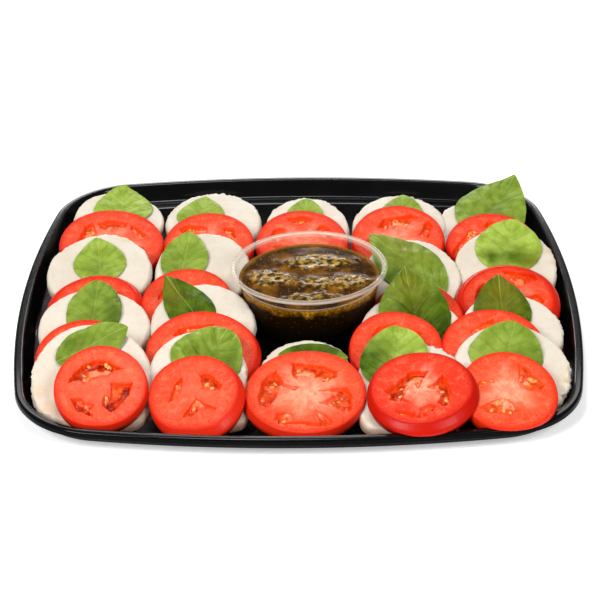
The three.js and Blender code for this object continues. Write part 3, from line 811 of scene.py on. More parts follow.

# %% [markdown]
# ## Tomato
# A cut tomato shows a firm outer wall, seed chambers filled with wet jelly, and a pale star in the
# middle whose rays run out between the chambers. The jelly is painted darker on a chamber's deep
# outer side, partly its own dark red and partly shade. The skin is a thin deep red line round the
# face and a glossy side below it. A chamber is a rounded patch in angle and radius, or an outline of
# straight sides; noise frays both. It sinks the face, and the distance to its edge is kept for the
# finish to colour.

# %% Tomato chambers
# ovals are chambers by direction and half spread in degrees and by inner and outer edge as shares of
# the radius. cuts are chambers by their corners, in millimetres across and up the slope from the
# slice's middle. pale is the strength of the star, core its reach as a share of the radius, deep the
# chambers' depth in millimetres, ripe the redness, clear how light the jelly is, seeds their share of
# the usual number, and shift how many millimetres the cut face lies off the slice's middle.
USUAL_TOMATO = dict(cuts=[], ovals=[], core=0.5, clear=0.5, seeds=1.0, shift=(0.0, 0.0))
TOMATOES = {
    "c1_r1": dict(
        cuts=[[(-27, 5), (-16, 24), (-10, 28), (-9, 25), (-9, 15), (-19, 6)],
              [(-6, 26), (4, 27), (17, 21), (14, 16), (7, 18), (0, 14), (-5, 20)],
              [(18, 21), (23, 13), (28, 4), (23, 1), (18, 12)]],
        ovals=[(225, 34, 0.34, 0.68), (300, 34, 0.34, 0.68)],
        pale=0.7, deep=4.0, ripe=0.6, seeds=1.6, clear=0.75),
    "c1_r2": dict(
        ovals=[(60, 26, 0.34, 0.6), (180, 28, 0.34, 0.62), (300, 28, 0.34, 0.62)],
        pale=0.2, deep=2.2, ripe=0.55),
    "c1_r3": dict(
        ovals=[(45, 28, 0.34, 0.62), (135, 28, 0.34, 0.62), (225, 28, 0.34, 0.62), (315, 28, 0.34, 0.62)],
        pale=0.2, deep=2.2, ripe=0.55),
    "c1_r4": dict(
        cuts=[[(-22, 3), (-19, 10), (-13, 16), (-6, 20), (3, 20), (9, 16), (15, 13), (8, 12), (5, 8),
               (-1, 7), (-8, 4), (-11, 2), (-15, 5)],
              [(-20, -9), (-12, -9), (-11, -12), (-4, -14), (-5, -19), (-4, -23), (-8, -22), (-15, -18)],
              [(6, 3), (12, 2), (21, 3), (19, -7), (13, -16), (8, -20), (2, -15), (2, -9), (4, -7), (7, -9),
               (7, -2)]],
        pale=0.15, deep=5.2, ripe=0.35, shift=(-0.4, 0.8), seeds=0.9, clear=0.1),
    "c2_r1": dict(
        cuts=[[(-23, 16), (-17, 21), (-1, 18), (-2, 11), (-12, 12), (-21, 11)],
              [(10, 16), (18, 17), (21, 6), (16, 3)]],
        ovals=[(215, 30, 0.36, 0.70), (300, 30, 0.36, 0.70)], pale=0.7, deep=4.0, ripe=0.5, clear=0.7),
    "c2_r2": dict(
        cuts=[[(-22, 4), (-18, 15), (-15, 5)]],
        ovals=[(60, 26, 0.30, 0.56), (250, 28, 0.34, 0.62), (330, 24, 0.34, 0.62)],
        pale=0.2, deep=2.4, ripe=0.55),
    "c2_r3": dict(
        cuts=[[(-22, 17), (-18, 23), (-6, 26), (8, 28), (4, 22), (-10, 21), (-18, 17)],
              [(12, 23), (21, 21), (20, 16)]],
        ovals=[(190, 26, 0.42, 0.72), (250, 26, 0.40, 0.72), (318, 30, 0.40, 0.72)],
        pale=0.4, deep=4.2, ripe=0.5, shift=(-1.2, 0.8), clear=0.3),
    "c2_r4": dict(
        cuts=[[(-13, 13), (-11, 5), (-12, -2), (-17, -10), (-17, -1), (-16, 8)],
              [(-2, 16), (3, 18), (9, 15), (15, 10), (14, 6), (3, 5), (1, 10)],
              [(0, -2), (7, -6), (16, -8), (15, -10), (5, -10), (1, -17), (-5, -19), (-3, -12)]],
        pale=0.12, deep=3.2, ripe=0.4, shift=(-2.8, 2.2), seeds=1.2, clear=0.35),
    "c3_r1": dict(
        cuts=[[(-13, 26), (3, 28), (9, 23), (-2, 19), (-9, 21)]],
        ovals=[(160, 20, 0.45, 0.72), (28, 20, 0.45, 0.72), (230, 28, 0.36, 0.70), (310, 28, 0.36, 0.70)],
        pale=0.5, deep=3.8, ripe=0.6, clear=0.8),
    "c3_r4": dict(
        cuts=[[(-8, 28), (11, 25), (23, 19), (21, 13), (13, 9), (7, 13), (-3, 15), (-5, 11), (-8, 15)],
              [(-30, 1), (-28, 11), (-19, 21), (-16, 14), (-13, 8), (-8, 6), (-3, 5), (-6, 1), (-13, 4),
               (-18, 1), (-19, -6), (-24, -14), (-29, -13), (-31, -6)],
              [(-18, -19), (-12, -18), (-7, -19), (-11, -26), (-18, -29), (-20, -24)],
              [(-18, -29), (-3, -26), (6, -28), (11, -29), (7, -17), (10, -17), (20, -27), (15, -32),
               (4, -31), (-4, -29)],
              [(7, 1), (17, 3), (28, 5), (32, -5), (31, -18), (27, -20), (20, -14), (10, -10), (15, -7),
               (20, -3), (15, 0)]],
        pale=1.0, core=0.64, deep=4.2, ripe=0.35, shift=(1.0, 0.8), clear=0.7),
    "c4_r1": dict(
        cuts=[[(-16, 10), (-11, 21), (-7, 17), (-8, 8)],
              [(-10, 21), (1, 24), (11, 26), (15, 22), (9, 16), (6, 11), (0, 13), (-4, 8), (-6, 16)],
              [(16, 2), (22, 20), (26, 15), (23, -1)]],
        ovals=[(215, 30, 0.36, 0.70), (300, 30, 0.36, 0.70)], pale=0.7, deep=4.4, ripe=0.55, clear=1.0),
    "c4_r2": dict(
        ovals=[(90, 26, 0.40, 0.72), (165, 26, 0.40, 0.72), (235, 26, 0.40, 0.72), (305, 26, 0.40, 0.72),
               (20, 24, 0.40, 0.72)],
        pale=0.3, deep=2.2, ripe=0.6),
    "c4_r3": dict(
        cuts=[[(-16, 11), (-13, 19), (2, 24), (-3, 18), (-10, 14)], [(12, 17), (19, 15), (17, 10)]],
        ovals=[(220, 30, 0.36, 0.66), (320, 30, 0.36, 0.66)], pale=0.3, deep=3.2, ripe=0.55),
    "c4_r4": dict(
        cuts=[[(-24, -7), (-17, 5), (-12, 15), (-5, 17), (0, 18), (-2, 11), (-3, 0), (-7, 5), (-10, -1),
               (-11, -9), (-4, -13), (-12, -13), (-20, -13), (-19, -9)],
              [(9, 17), (14, 12), (18, 3), (20, -7), (18, -11), (12, -9), (13, -2), (8, 3), (3, 2), (2, 4),
               (6, 9)],
              [(-14, -21), (-7, -20), (-2, -21), (-2, -18), (2, -23), (3, -18), (9, -21), (6, -24),
               (-1, -25), (-9, -24)],
              [(1, -16), (7, -11), (12, -11), (11, -16), (4, -18)]],
        pale=1.0, core=0.55, deep=4.6, ripe=0.9, shift=(-1.4, 2.4), seeds=1.3, clear=0.3),
    "c5_r1": dict(
        cuts=[[(-32, -19), (-32, -11), (-15, 17), (-8, 13), (-23, -8), (-26, -24)]],
        ovals=[(75, 28, 0.42, 0.72), (350, 30, 0.40, 0.72), (265, 32, 0.40, 0.72)],
        pale=0.3, deep=4.0, ripe=0.65, clear=0.7),
    "c5_r2": dict(
        cuts=[[(-5, 28), (18, 26), (21, 20), (11, 14), (6, 12), (1, 20)],
              [(12, 3), (22, 7), (26, -1), (23, -4)]],
        ovals=[(165, 30, 0.40, 0.74), (270, 34, 0.36, 0.70)], pale=0.7, deep=4.4, ripe=0.6, clear=1.0),
    "c5_r3": dict(
        cuts=[[(-16, 15), (0, 27), (1, 21), (-15, 12)]],
        ovals=[(40, 26, 0.40, 0.66), (220, 30, 0.36, 0.66), (310, 30, 0.36, 0.66)],
        pale=0.3, deep=3.0, ripe=0.5),
    "c5_r4": dict(
        cuts=[[(10, 21), (16, 18), (18, 12), (23, 5), (25, 2), (21, -3), (14, -2), (8, 1), (7, 7), (9, 12)],
              [(-23, 4), (-18, 9), (-9, 11), (-8, 7), (-13, 6), (-21, 3)],
              [(-22, -13), (-14, -9), (-6, -6), (0, -9), (2, -13), (5, -18), (-2, -21), (-10, -19),
               (-18, -17), (-21, -15)]],
        pale=0.95, core=0.62, deep=1.5, ripe=0.3, clear=0.9),
}
print("tomato slices", len(TOMATOES))

# %% Chamber depth
FAR_OUTSIDE = -99.0


def inside_cut(x, y, corners):
    """Distance inside an outline of straight sides, in millimetres; below 0 is outside.

    It is the distance to the nearest side. A point is inside where a level line from it crosses the
    outline an odd number of times.
    """
    nearest = np.full(np.shape(x), np.inf)
    within = np.zeros(np.shape(x), dtype=bool)
    for (ax, ay), (bx, by) in zip(corners, corners[1:] + corners[:1]):
        dx, dy = bx - ax, by - ay
        along = np.clip(((x - ax) * dx + (y - ay) * dy) / (dx * dx + dy * dy), 0, 1)
        nearest = np.minimum(nearest, np.hypot(x - ax - along * dx, y - ay - along * dy))
        within ^= ((ay > y) != (by > y)) & (x < ax + dx * (y - ay) / (dy or 1.0))
    return np.where(within, nearest, -nearest)


def chamber_depth(solid, share, angles, look, seed):
    """How far inside a chamber each point of a face lies, in millimetres (below 0 is outside), and
    where between the chamber's inner edge, -1, and its outer edge, 1.

    An oval's edge is squared in angle and radius: |a| ** 3 + |b| ** 3 = 1, with a the angle from its
    direction over its spread and b the radius from its middle over its half depth.
    """
    radius = solid.face_share * solid.reach(angles)
    x, y = round_about(share * radius, angles)
    x, y = x + look["shift"][0], y + look["shift"][1]
    here = flat_points(x, y, seed * 3.7)
    inside = np.full(np.shape(share), FAR_OUTSIDE)
    outwards = np.zeros(np.shape(share))
    ragged = 1.5 * clouds(here, 6.5, seed, 3)
    for direction, spread, inner, outer in look["ovals"]:
        a = turned_from(angles, direction) / np.radians(spread * 1.12)
        b = (share - (inner + outer) / 2) / ((outer - inner) / 2)
        oval = (np.abs(a) ** 3 + np.abs(b) ** 3) ** (1 / 3)
        size = np.minimum((outer - inner) / 2, np.radians(spread) * np.maximum(share, 0.1)) * radius
        here_inside = (1 - oval) * size + ragged
        outwards = np.where(here_inside > inside, b, outwards)
        inside = np.maximum(inside, here_inside)
    frayed = 0.7 * clouds(here, 2.6, seed + 6, 2)
    for corners in look["cuts"]:
        away = np.hypot(*np.transpose(corners))
        b = (np.hypot(x, y) - (away.max() + away.min()) / 2) / (np.ptp(away) / 2)
        here_inside = inside_cut(x, y, corners) + frayed
        outwards = np.where(here_inside > inside, b, outwards)
        inside = np.maximum(inside, here_inside)
    return inside + 0.25 + 0.4 * clouds(here, 1.6, seed + 5, 1), np.clip(outwards, -1, 1)


def chamber_directions(look):
    """The direction of each chamber's middle from the slice's, in degrees, in rising order."""
    middles = [np.mean(corners, axis=0) for corners in look["cuts"]]
    turned = [np.degrees(np.arctan2(y, x)) % 360 for x, y in middles]
    return np.sort(turned + [oval[0] % 360 for oval in look["ovals"]])


print("chambers in all", sum(len(chamber_directions(USUAL_TOMATO | look)) for look in TOMATOES.values()))

# %% Tomato shape
TOMATO_COLUMNS = 240
TOMATO_FACE_ROWS = 74
TOMATO_SKIN_ROWS = 12
PRESSED = 1.3  # how far a slice sinks towards the leaf and the cheese under it
FULLEST = -0.2  # the level, from -1 at the back to 1 at the face, where the skin bulges most
TOMATO_SEED = 900


def face_height(inside, outwards, here, look, seed):
    """Height of a cut face over its plane, and the share of lumps in its jelly.

    A chamber sinks steeply at its outer wall and less towards the core; jelly swells in lumps from
    its floor, the flesh is faintly uneven and its edge stands up a little.
    """
    slope = 0.5 + 0.5 * smooth(-0.9, 0.3, outwards)
    sunk = smooth(0.0, 1.0, inside) * look["deep"] * slope
    lump = smooth(-0.5, 0.55, clouds(here, 4.2, seed + 11, 3))
    jelly = smooth(0.7, 2.2, inside) * (0.3 + lump * (0.5 + 0.32 * look["deep"]))
    lip = 0.15 * np.exp(-(((inside + 0.5) / 0.6) ** 2))
    flesh = 0.16 * clouds(here, 6.0, seed + 12, 3) + 0.07 * clouds(here, 1.7, seed + 13, 2)
    return lip + flesh + jelly - sunk, lump


def tomato_profile(face):
    """Share of the radius and level of each ring, from the back's middle to the cut face's middle.

    face is the share of the radius that the cut face has. The side's share is 1 - (1 - face) * t ** 2
    above its fullest line and 1 - 0.03 * t ** 2 below it, with t from 0 there to 1 at its end.
    """
    rise = np.linspace(-1, 1, TOMATO_SKIN_ROWS)
    above = rise > FULLEST
    part = (rise - FULLEST) / np.where(above, 1 - FULLEST, 1 + FULLEST)
    side_share = 1 - np.where(above, 1 - face, 0.03) * part**2
    face_share = face * (1 - np.linspace(0, 1, TOMATO_FACE_ROWS + 1)[1:])
    face_share = np.concatenate([[face * 0.9965], face_share[:-1], [0.003]])
    back_share = 0.97 * np.linspace(0.05, 0.93, BACK_ROWS)
    level = np.concatenate([np.full(BACK_ROWS, -1.0), rise, np.ones(len(face_share))])
    return np.concatenate([back_share, side_share, face_share]), level


def tomato_rings(name, seed):
    """Rings of a slice and its marks: back, bulging skin, and a face with chambers, off by its shift."""
    solid = slab["tomato_" + name]
    look = USUAL_TOMATO | TOMATOES[name]
    share, level = tomato_profile(solid.face_share)
    on_face = on_rings(np.arange(len(share)) >= BACK_ROWS + TOMATO_SKIN_ROWS, TOMATO_COLUMNS)
    share, turn = np.meshgrid(share, full_turn(TOMATO_COLUMNS), indexing="ij")
    level = on_rings(level, TOMATO_COLUMNS)
    uneven = clouds(flat_points(*round_about(9, turn[0]), seed), 4.0, seed)
    reach = solid.reach(turn[0]) * (1 + 0.006 * uneven)
    x, y = round_about(share * reach, turn)
    here = flat_points(x, y)
    from_rim = (solid.face_share - share) * reach
    inside, outwards = chamber_depth(solid, share / solid.face_share, turn, look, seed)
    inside = np.where(on_face, inside, -9.0)
    height, lump = face_height(inside, outwards, here, look, seed)
    z = level * solid.half[2] - PRESSED * (level < -0.9) + on_face * height
    z -= on_face * 0.3 * np.exp(-from_rim / 0.35)
    x += look["shift"][0] * smooth(-0.3, 1.0, level)
    y += look["shift"][1] * smooth(-0.3, 1.0, level)
    stars = star_of_rays(share / solid.face_share, turn, here, look, seed)
    marks = {
        "inside": inside,
        "rim": np.where(on_face, from_rim, -1.0 - 5 * (1 - level)),
        "pale": stars * look["pale"],
        "ripe": np.full_like(x, look["ripe"]),
        "outwards": outwards,
        "lump": lump,
        "clear": np.full_like(x, look["clear"]),
        "grain": np.stack([np.cos(turn) * 14, np.sin(turn) * 14, share * 2.2 + seed], axis=-1),
    }
    return clear_of_tub(above_tray(solid.place(x, y, z))), marks


def star_of_rays(share, angles, here, look, seed):
    """Paleness of the core: full in the middle, with a ray out through each gap between chambers."""
    core = 1 - smooth(0.10, look["core"], share + 0.05 * clouds(here, 5.0, seed + 30, 2))
    directions = chamber_directions(look)
    gaps = (directions + np.append(directions[1:], directions[0] + 360)) / 2
    rays = np.zeros_like(share)
    fade = 1 - smooth(0.3, 0.82, share)
    for gap in gaps:
        away = turned_from(angles, gap)
        across = share * away / 0.15
        rays = np.maximum(rays, np.exp(-(across**2)) * (np.abs(away) < 1.5) * fade)
    streaks = 0.75 + 0.5 * clouds(here, 3.0, seed + 31, 2)
    return np.clip(np.maximum(core, 0.8 * rays) * streaks, 0, 1)


print("tomato rows", BACK_ROWS + TOMATO_SKIN_ROWS + TOMATO_FACE_ROWS + 1, "columns", TOMATO_COLUMNS)

# %% Tomato finish
tomato = Finish(
    "ripe tomato", (0.8, 0.1, 0.05), Roughness=0.25, IOR=1.2, Subsurface_Weight=0.22, Subsurface_Scale=0.003,
    Subsurface_Radius=(1.0, 0.25, 0.12), Coat_Roughness=0.12,
)
inside = tomato.attribute("inside")
rim = tomato.attribute("rim")
ripe = tomato.attribute("ripe")
pale = tomato.attribute("pale")
outer = tomato.step(tomato.attribute("outwards"), -0.8, 0.6)
grain = tomato.noise(1.0, 4.0, tomato.attribute("grain", "Vector"), 0.6)
# painted highlight: fine pale specks on the flesh stand in for wet glints
lit_flecks = tomato.noise(850.0, 3.0, rough=0.7)
blotch = tomato.spots(55.0, 3.0, 0.3, 0.72)

core = tomato.mix(tomato.step(grain, 0.3, 0.75), (0.94, 0.36, 0.18), (0.95, 0.55, 0.38))
grit = tomato.spots(800.0, 2.0, 0.54, 0.66) * (0.7 - tomato.step(rim, 2.0, 12.0) * 0.4)
flesh = tomato.coats(
    tomato.mix(ripe, (0.92, 0.13, 0.045), (0.8, 0.02, 0.004)),
    (blotch * 0.55, (0.84, 0.05, 0.014)),
    (tomato.spots(160.0, 3.0, 0.46, 0.75) * 0.5, (0.95, 0.22, 0.1)),
    (tomato.step(grain, 0.5, 0.8) * (0.4 - ripe * 0.25), (0.97, 0.26, 0.12)),
    # painted highlight: pale glints on the flesh
    (tomato.step(lit_flecks, 0.55, 0.72) * (0.5 - ripe * 0.25), (0.98, 0.36, 0.2)),
    (pale, core),
    (grit, tomato.mix(pale, (0.62, 0.02, 0.005), (0.9, 0.2, 0.09))),
)

lump = tomato.attribute("lump")
clear_jelly = tomato.attribute("clear")
spots = tomato.spots(260.0, 3.0, 0.34, 0.66)
# painted shade: a chamber's deep outer side takes the darker jelly, partly its own dark red and partly shade
deep_outer_side = tomato.step(outer + tomato.noise(190.0, 2.0) * 0.7, 0.7, 1.05)
dark_jelly_and_shade = tomato.mix(spots, (0.2, 0.006, 0.001), (0.62, 0.035, 0.004))
light_jelly = tomato.mix(spots, (0.82, 0.045, 0.004), (0.93, 0.15, 0.025))
tissue = tomato.mix(pale * 0.7 + 0.3, (0.92, 0.2, 0.08), (0.95, 0.46, 0.27))
inner = tomato.mix(tomato.step(lump, 0.25, 0.8), light_jelly, tissue)
jelly = tomato.mix(deep_outer_side, inner, tomato.mix(clear_jelly * 0.75, dark_jelly_and_shade, light_jelly))
jelly_depth = tomato.step(inside + tomato.noise(330.0, 2.0) * 0.9, 1.4, 2.4)
chamber_wall = tomato.step(inside + tomato.noise(500.0, 2.0) * 0.4, 0.15, 0.6)
wall_share = chamber_wall * (0.4 + outer * 0.6)
cut = tomato.coats(flesh, (wall_share, (0.92, 0.07, 0.004)), (jelly_depth, jelly))

skin_line = tomato.step(rim, -0.2, 0.9)
near_skin = tomato.step(rim + tomato.noise(90.0, 2.0) * 3, 1.5, 7.0)
skin_red = tomato.mix(ripe, (0.88, 0.035, 0.008), (0.46, 0.003, 0.0005))
skin = tomato.mix(tomato.spots(30.0, 2.0, 0.3, 0.7) * 0.15, skin_red, (0.8, 0.02, 0.004))
ring = tomato.mix(grit, tomato.mix(ripe, (0.86, 0.06, 0.015), (0.7, 0.016, 0.003)), (0.55, 0.012, 0.002))
under_skin = tomato.mix(near_skin, ring, cut)
tomato.use("Base Color", tomato.mix(skin_line, skin, under_skin))
tomato.use("Roughness", 0.4 - tomato.step(inside, 0.3, 1.6) * 0.22 - (1 - skin_line) * 0.06)
tomato.use("Coat Weight", tomato.step(inside, 0.3, 1.6) * 0.13 + blotch * 0.05 + 0.02)
fibres = tomato.bump(grain, 0.0006, 0.4)
wet = tomato.bump(tomato.noise(330.0, 3.0, rough=0.55) * skin_line, 0.0007, 0.5, fibres)
tomato.use("Normal", wet)

add_slices("tomato", tomato_rings, tomato, TOMATO_SEED)

# %% [markdown]
# ## Tomato seeds
# Seeds sit in the jelly, most of them close to the core. Each is a flat drop about 3.5 mm long with
# a coat of jelly. One small drop is placed many times, and all seeds are one mesh.

# %% Seeds
SEED_LENGTH = 3.5
SEED_RINGS = 7
SEED_SIDES = 10
SEEDS_DRAWN = 85  # places drawn on a usual slice, of which those in a chamber may get a seed
IN_JELLY = 1.3  # how far inside a chamber a seed has to lie, in millimetres


def drop_shape():
    """Points of a unit seed: rings along X, of a radius sin(t) ** 0.8, fuller and longer in front."""
    t = np.linspace(0, np.pi, SEED_RINGS + 2)[1:-1]
    along = -np.cos(t) * (1 + 0.15 * (np.cos(t) < 0))
    radius = np.sin(t) ** 0.8 * (1 - 0.22 * np.cos(t))
    y, z = round_about(radius[:, None], full_turn(SEED_SIDES))
    return flat_points(on_rings(along, SEED_SIDES), y * 0.7, z * 0.34)


def scatter_seeds(name, seed, random):
    """Seeds of one slice: points drawn over its face, of which those inside chambers are kept, more
    often near the core. Each lies along its radius with a small turn and lean of its own."""
    solid = slab["tomato_" + name]
    look = USUAL_TOMATO | TOMATOES[name]
    drawn = int(SEEDS_DRAWN * look["seeds"])
    angle = random.uniform(0, 2 * np.pi, drawn)
    share = np.sqrt(random.uniform(0.02, 0.75, drawn))
    turn = random.uniform(-0.5, 0.5, drawn)
    size = random.uniform(0.75, 1.1, drawn)
    reach = solid.reach(angle)
    inside, outwards = chamber_depth(solid, share, angle, look, seed)
    kept = (inside > IN_JELLY) & (outwards < random.uniform(-0.6, 1.2, drawn))
    rows = (angle, share, turn, size, reach, inside, outwards)
    angle, share, turn, size, reach, inside, outwards = (row[kept] for row in rows)
    x, y = round_about(share * solid.face_share * reach, angle)
    z = solid.half[2] + face_height(inside, outwards, flat_points(x, y), look, seed)[0]
    middle = flat_points(x + look["shift"][0], y + look["shift"][1], z - 0.1)[:, None]
    drop = with_poles(drop_shape()) * SEED_LENGTH / 2
    shape = np.moveaxis(drop[None] * size[:, None, None], -1, 0)
    yaw = (angle + turn)[:, None]
    px = shape[0] * np.cos(yaw) - shape[1] * np.sin(yaw)
    py = shape[0] * np.sin(yaw) + shape[1] * np.cos(yaw)
    pz = shape[2] + 0.25 * np.sin(9 * yaw) * shape[0] * 0.6
    placed = solid.place(*np.moveaxis(middle + flat_points(px, py, pz), -1, 0))
    return placed, on_rings(random.uniform(0, 1, len(x)), len(drop))


def joined_mesh(name, bodies):
    """One mesh of many copies of the same closed body: bodies is (copies, points, 3)."""
    quads, triangles = turned_faces(SEED_RINGS, SEED_SIDES)
    offset = np.arange(len(bodies)) * bodies.shape[1]
    all_quads = (quads[None] + offset[:, None, None]).reshape(-1, 4)
    all_triangles = (triangles[None] + offset[:, None, None]).reshape(-1, 3)
    return faces_to_mesh(name, bodies.reshape(-1, 3), all_quads, all_triangles)


random = np.random.default_rng(11)
scattered = []
for number, name in enumerate(SERVINGS):
    scattered.append(scatter_seeds(name, TOMATO_SEED + SLICE_SEED_STEP * number, random))
drops, shades = (np.concatenate(parts) for parts in zip(*scattered))
seed_mesh = joined_mesh("tomato_seeds", drops)
paint(seed_mesh, shade=shades.ravel())

seed_coat = Finish(
    "tomato seed", (0.8, 0.4, 0.1), Roughness=0.25, Subsurface_Weight=0.3, Subsurface_Scale=0.002,
    Coat_Weight=0.3, Coat_Roughness=0.1, IOR=1.35,
)
shade = seed_coat.attribute("shade")
seed_coat.use("Base Color", seed_coat.mix(shade, (0.78, 0.2, 0.02), (0.82, 0.42, 0.12)))
seed_coat.use("Normal", seed_coat.bump(seed_coat.noise(900.0, 2.0), 0.0002, 0.5))
add_piece("tomato_seeds", seed_mesh, seed_coat, "tomato")
print("seeds", len(drops))

# %% [markdown]
# ## Basil
# A basil leaf is a thin blade that swells up between its veins. Its midrib is a groove on the upper
# side, and pairs of side veins curve from it towards the tip. The blade follows a smooth surface
# fitted to the leaf's solid, in the directions of the cheese that it lies on.

# %% Leaf looks
# turn is the direction of the tip from up the slope, in degrees clockwise; point shapes the outline
# (0.5 is round, 1 is sharp); tone runs from 0, pale yellow-green, to 1, dark; veins is the number of
# side veins in each half. deeper lists patches painted darker, most of them the shade of
# folds and curls and some darker leaf, by place along from 0 to 1, place across from -1 to 1, size
# and strength; olive lists patches that are browner. relief is the swelling between the veins in
# millimetres, and fold is the place along of a crease and how many millimetres lower the blade lies
# between the stem and the crease.
USUAL_LEAF = dict(veins=5, relief=0.45, deeper=[], olive=[], fold=(0.0, 0.0))
LEAVES = {
    "c1_r1": dict(turn=0, point=0.75, tone=0.2),
    "c1_r2": dict(turn=-6, point=0.75, tone=0.25, deeper=[(0.3, -0.2, 0.3, 0.3)]),
    "c1_r3": dict(turn=3, point=0.55, tone=0.55, relief=0.8, deeper=[(0.4, 0.9, 0.3, 0.3)]),
    "c1_r4": dict(turn=60, point=0.7, tone=0.45, deeper=[(0.2, -0.4, 0.4, 0.3)]),
    "c2_r1": dict(turn=8, point=0.75, tone=0.3),
    "c2_r2": dict(turn=6, point=0.65, tone=0.35, deeper=[(0.3, -0.7, 0.4, 0.3)]),
    "c2_r3": dict(turn=-32, point=0.9, tone=0.95, relief=1.0, olive=[(0.85, -0.3, 0.3, 1.0)],
                  deeper=[(0.25, 0.2, 0.35, 0.5)]),
    "c2_r4": dict(turn=30, point=0.5, tone=0.4, relief=2.4, veins=4,
                  deeper=[(0.4, 0.8, 0.35, 0.4), (0.45, -0.2, 0.2, 0.3)]),
    "c3_r1": dict(turn=4, point=0.55, tone=0.35),
    "c3_r4": dict(turn=94, point=0.7, tone=0.6, deeper=[(0.5, -0.8, 0.5, 0.5)]),
    "c4_r1": dict(turn=0, point=0.7, tone=0.35),
    "c4_r2": dict(turn=-46, point=0.85, tone=0.5, relief=0.6, veins=6, olive=[(0.75, 0.4, 0.4, 0.6)],
                  deeper=[(0.45, -0.8, 0.3, 0.4)]),
    "c4_r3": dict(turn=-8, point=0.85, tone=0.65, relief=2.2, olive=[(0.85, 0.0, 0.35, 0.8)],
                  deeper=[(0.3, 0.7, 0.3, 0.45), (0.5, -0.1, 0.16, 0.5), (0.3, -0.5, 0.15, 0.4)]),
    "c4_r4": dict(turn=8, point=0.5, tone=0.08, relief=1.1, deeper=[(0.4, -0.85, 0.4, 1.0)]),
    "c5_r1": dict(turn=32, point=0.9, tone=0.5, relief=0.5, veins=6, deeper=[(0.25, 0.2, 0.3, 0.25)]),
    "c5_r2": dict(turn=6, point=0.55, tone=0.05, veins=4, fold=(0.5, 3.5),
                  olive=[(0.22, 0.9, 0.2, 0.8)],
                  deeper=[(0.26, -0.5, 0.16, 0.9), (0.32, 0.2, 0.17, 1.0), (0.27, 0.75, 0.14, 0.8)]),
    "c5_r3": dict(turn=-4, point=0.9, tone=1.0, relief=0.6, veins=6, olive=[(0.8, 0.0, 0.45, 1.0)]),
    "c5_r4": dict(turn=14, point=0.5, tone=0.4, relief=0.9, veins=4, deeper=[(0.4, 0.9, 0.3, 0.4)]),
}
print("leaves", len(LEAVES))

# %% Leaf surface
HIGHEST_POWER = 4
DAMPING = 0.02  # how strongly the fit keeps its weights small, for each point


def powers(x, y):
    """All products x ** i * y ** j up to the fourth degree, as columns."""
    count = HIGHEST_POWER + 1
    return np.stack([x**i * y**j for i in range(count) for j in range(count - i)], axis=-1)


def leaf_surface(name):
    """Directions, middle and size of a leaf's solid, and a smooth height over its cheese's plane.

    The height is a sum of powers of the two places, fitted to the solid's points by least squares.
    """
    ground = slab["mozzarella_" + name]
    local = node_points("basil_" + name) @ ground.axes.T - ground.centre
    turn = np.radians(LEAVES[name]["turn"])
    along = np.array([np.sin(turn), np.cos(turn)])
    across = np.array([np.cos(turn), -np.sin(turn)])
    placed = np.stack([local[:, :2] @ across, local[:, :2] @ along], axis=-1)
    low, high = placed.min(axis=0), placed.max(axis=0)
    middle, half = (low + high) / 2, (high - low) / 2
    unit = (placed - middle) / half
    terms = powers(unit[:, 0], unit[:, 1])
    damp = DAMPING * len(terms) * np.eye(terms.shape[1])
    weights = np.linalg.solve(terms.T @ terms + damp, terms.T @ local[:, 2])
    return ground, across, along, middle, half, weights


leaf_sizes = np.array([leaf_surface(name)[4] for name in SERVINGS]) * 2
print("leaves from", leaf_sizes.min(axis=0).round(1), "to", leaf_sizes.max(axis=0).round(1), "mm")

# %% Leaf shape
LEAF_ROWS = 96
LEAF_LANES = 64
LEAF_THICKNESS = 0.35
OFF_CHEESE = 0.9  # least height of a leaf over the cheese's face, in millimetres
RIM_SHARE = 0.92  # share of the cheese's radius from which a leaf may hang down
HANG = 60.0  # how many millimetres it may hang down over a full radius
USUAL_HALF_WIDTH = 22.0  # the relief of a leaf grows with its half width over this one
LEAF_SEED = 300
LEAF_SEED_STEP = 17


def vein_field(s, t, count):
    """A number that is whole on each side vein, the swelling between veins, and the midrib's groove.

    Side veins are the lines where (s - 0.4 * |t| + 0.12 * t ** 2) * (count + 1.5) is whole.
    """
    phase = (s - 0.4 * np.abs(t) + 0.12 * t**2) * (count + 1.5)
    from_vein = np.abs(phase - np.round(phase))
    groove = np.exp(-((t / (0.07 * (1.15 - 0.75 * s))) ** 2))
    swell = np.sin(np.pi * np.clip(from_vein, 0, 0.5))
    swell = swell * smooth(0.0, 0.35, np.abs(t)) * (1 - smooth(0.6, 1.0, np.abs(t)))
    return phase, swell, groove


def over_cheese(ground, x, y, height):
    """Lifts a leaf's heights so that they clear the cheese's face; past the rim they may fall away."""
    share = np.hypot(x, y) / ground.reach(np.arctan2(y, x))
    return np.maximum(height, ground.half[2] + OFF_CHEESE - HANG * np.maximum(share - RIM_SHARE, 0))


def patches(s, t, entries):
    """The sum of round soft patches of a blade, at most 1."""
    total = np.zeros_like(s)
    for along, across, size, strength in entries:
        total += strength * np.exp(-(((s - along) ** 2 + (0.5 * (t - across)) ** 2) / size**2))
    return np.clip(total, 0, 1)


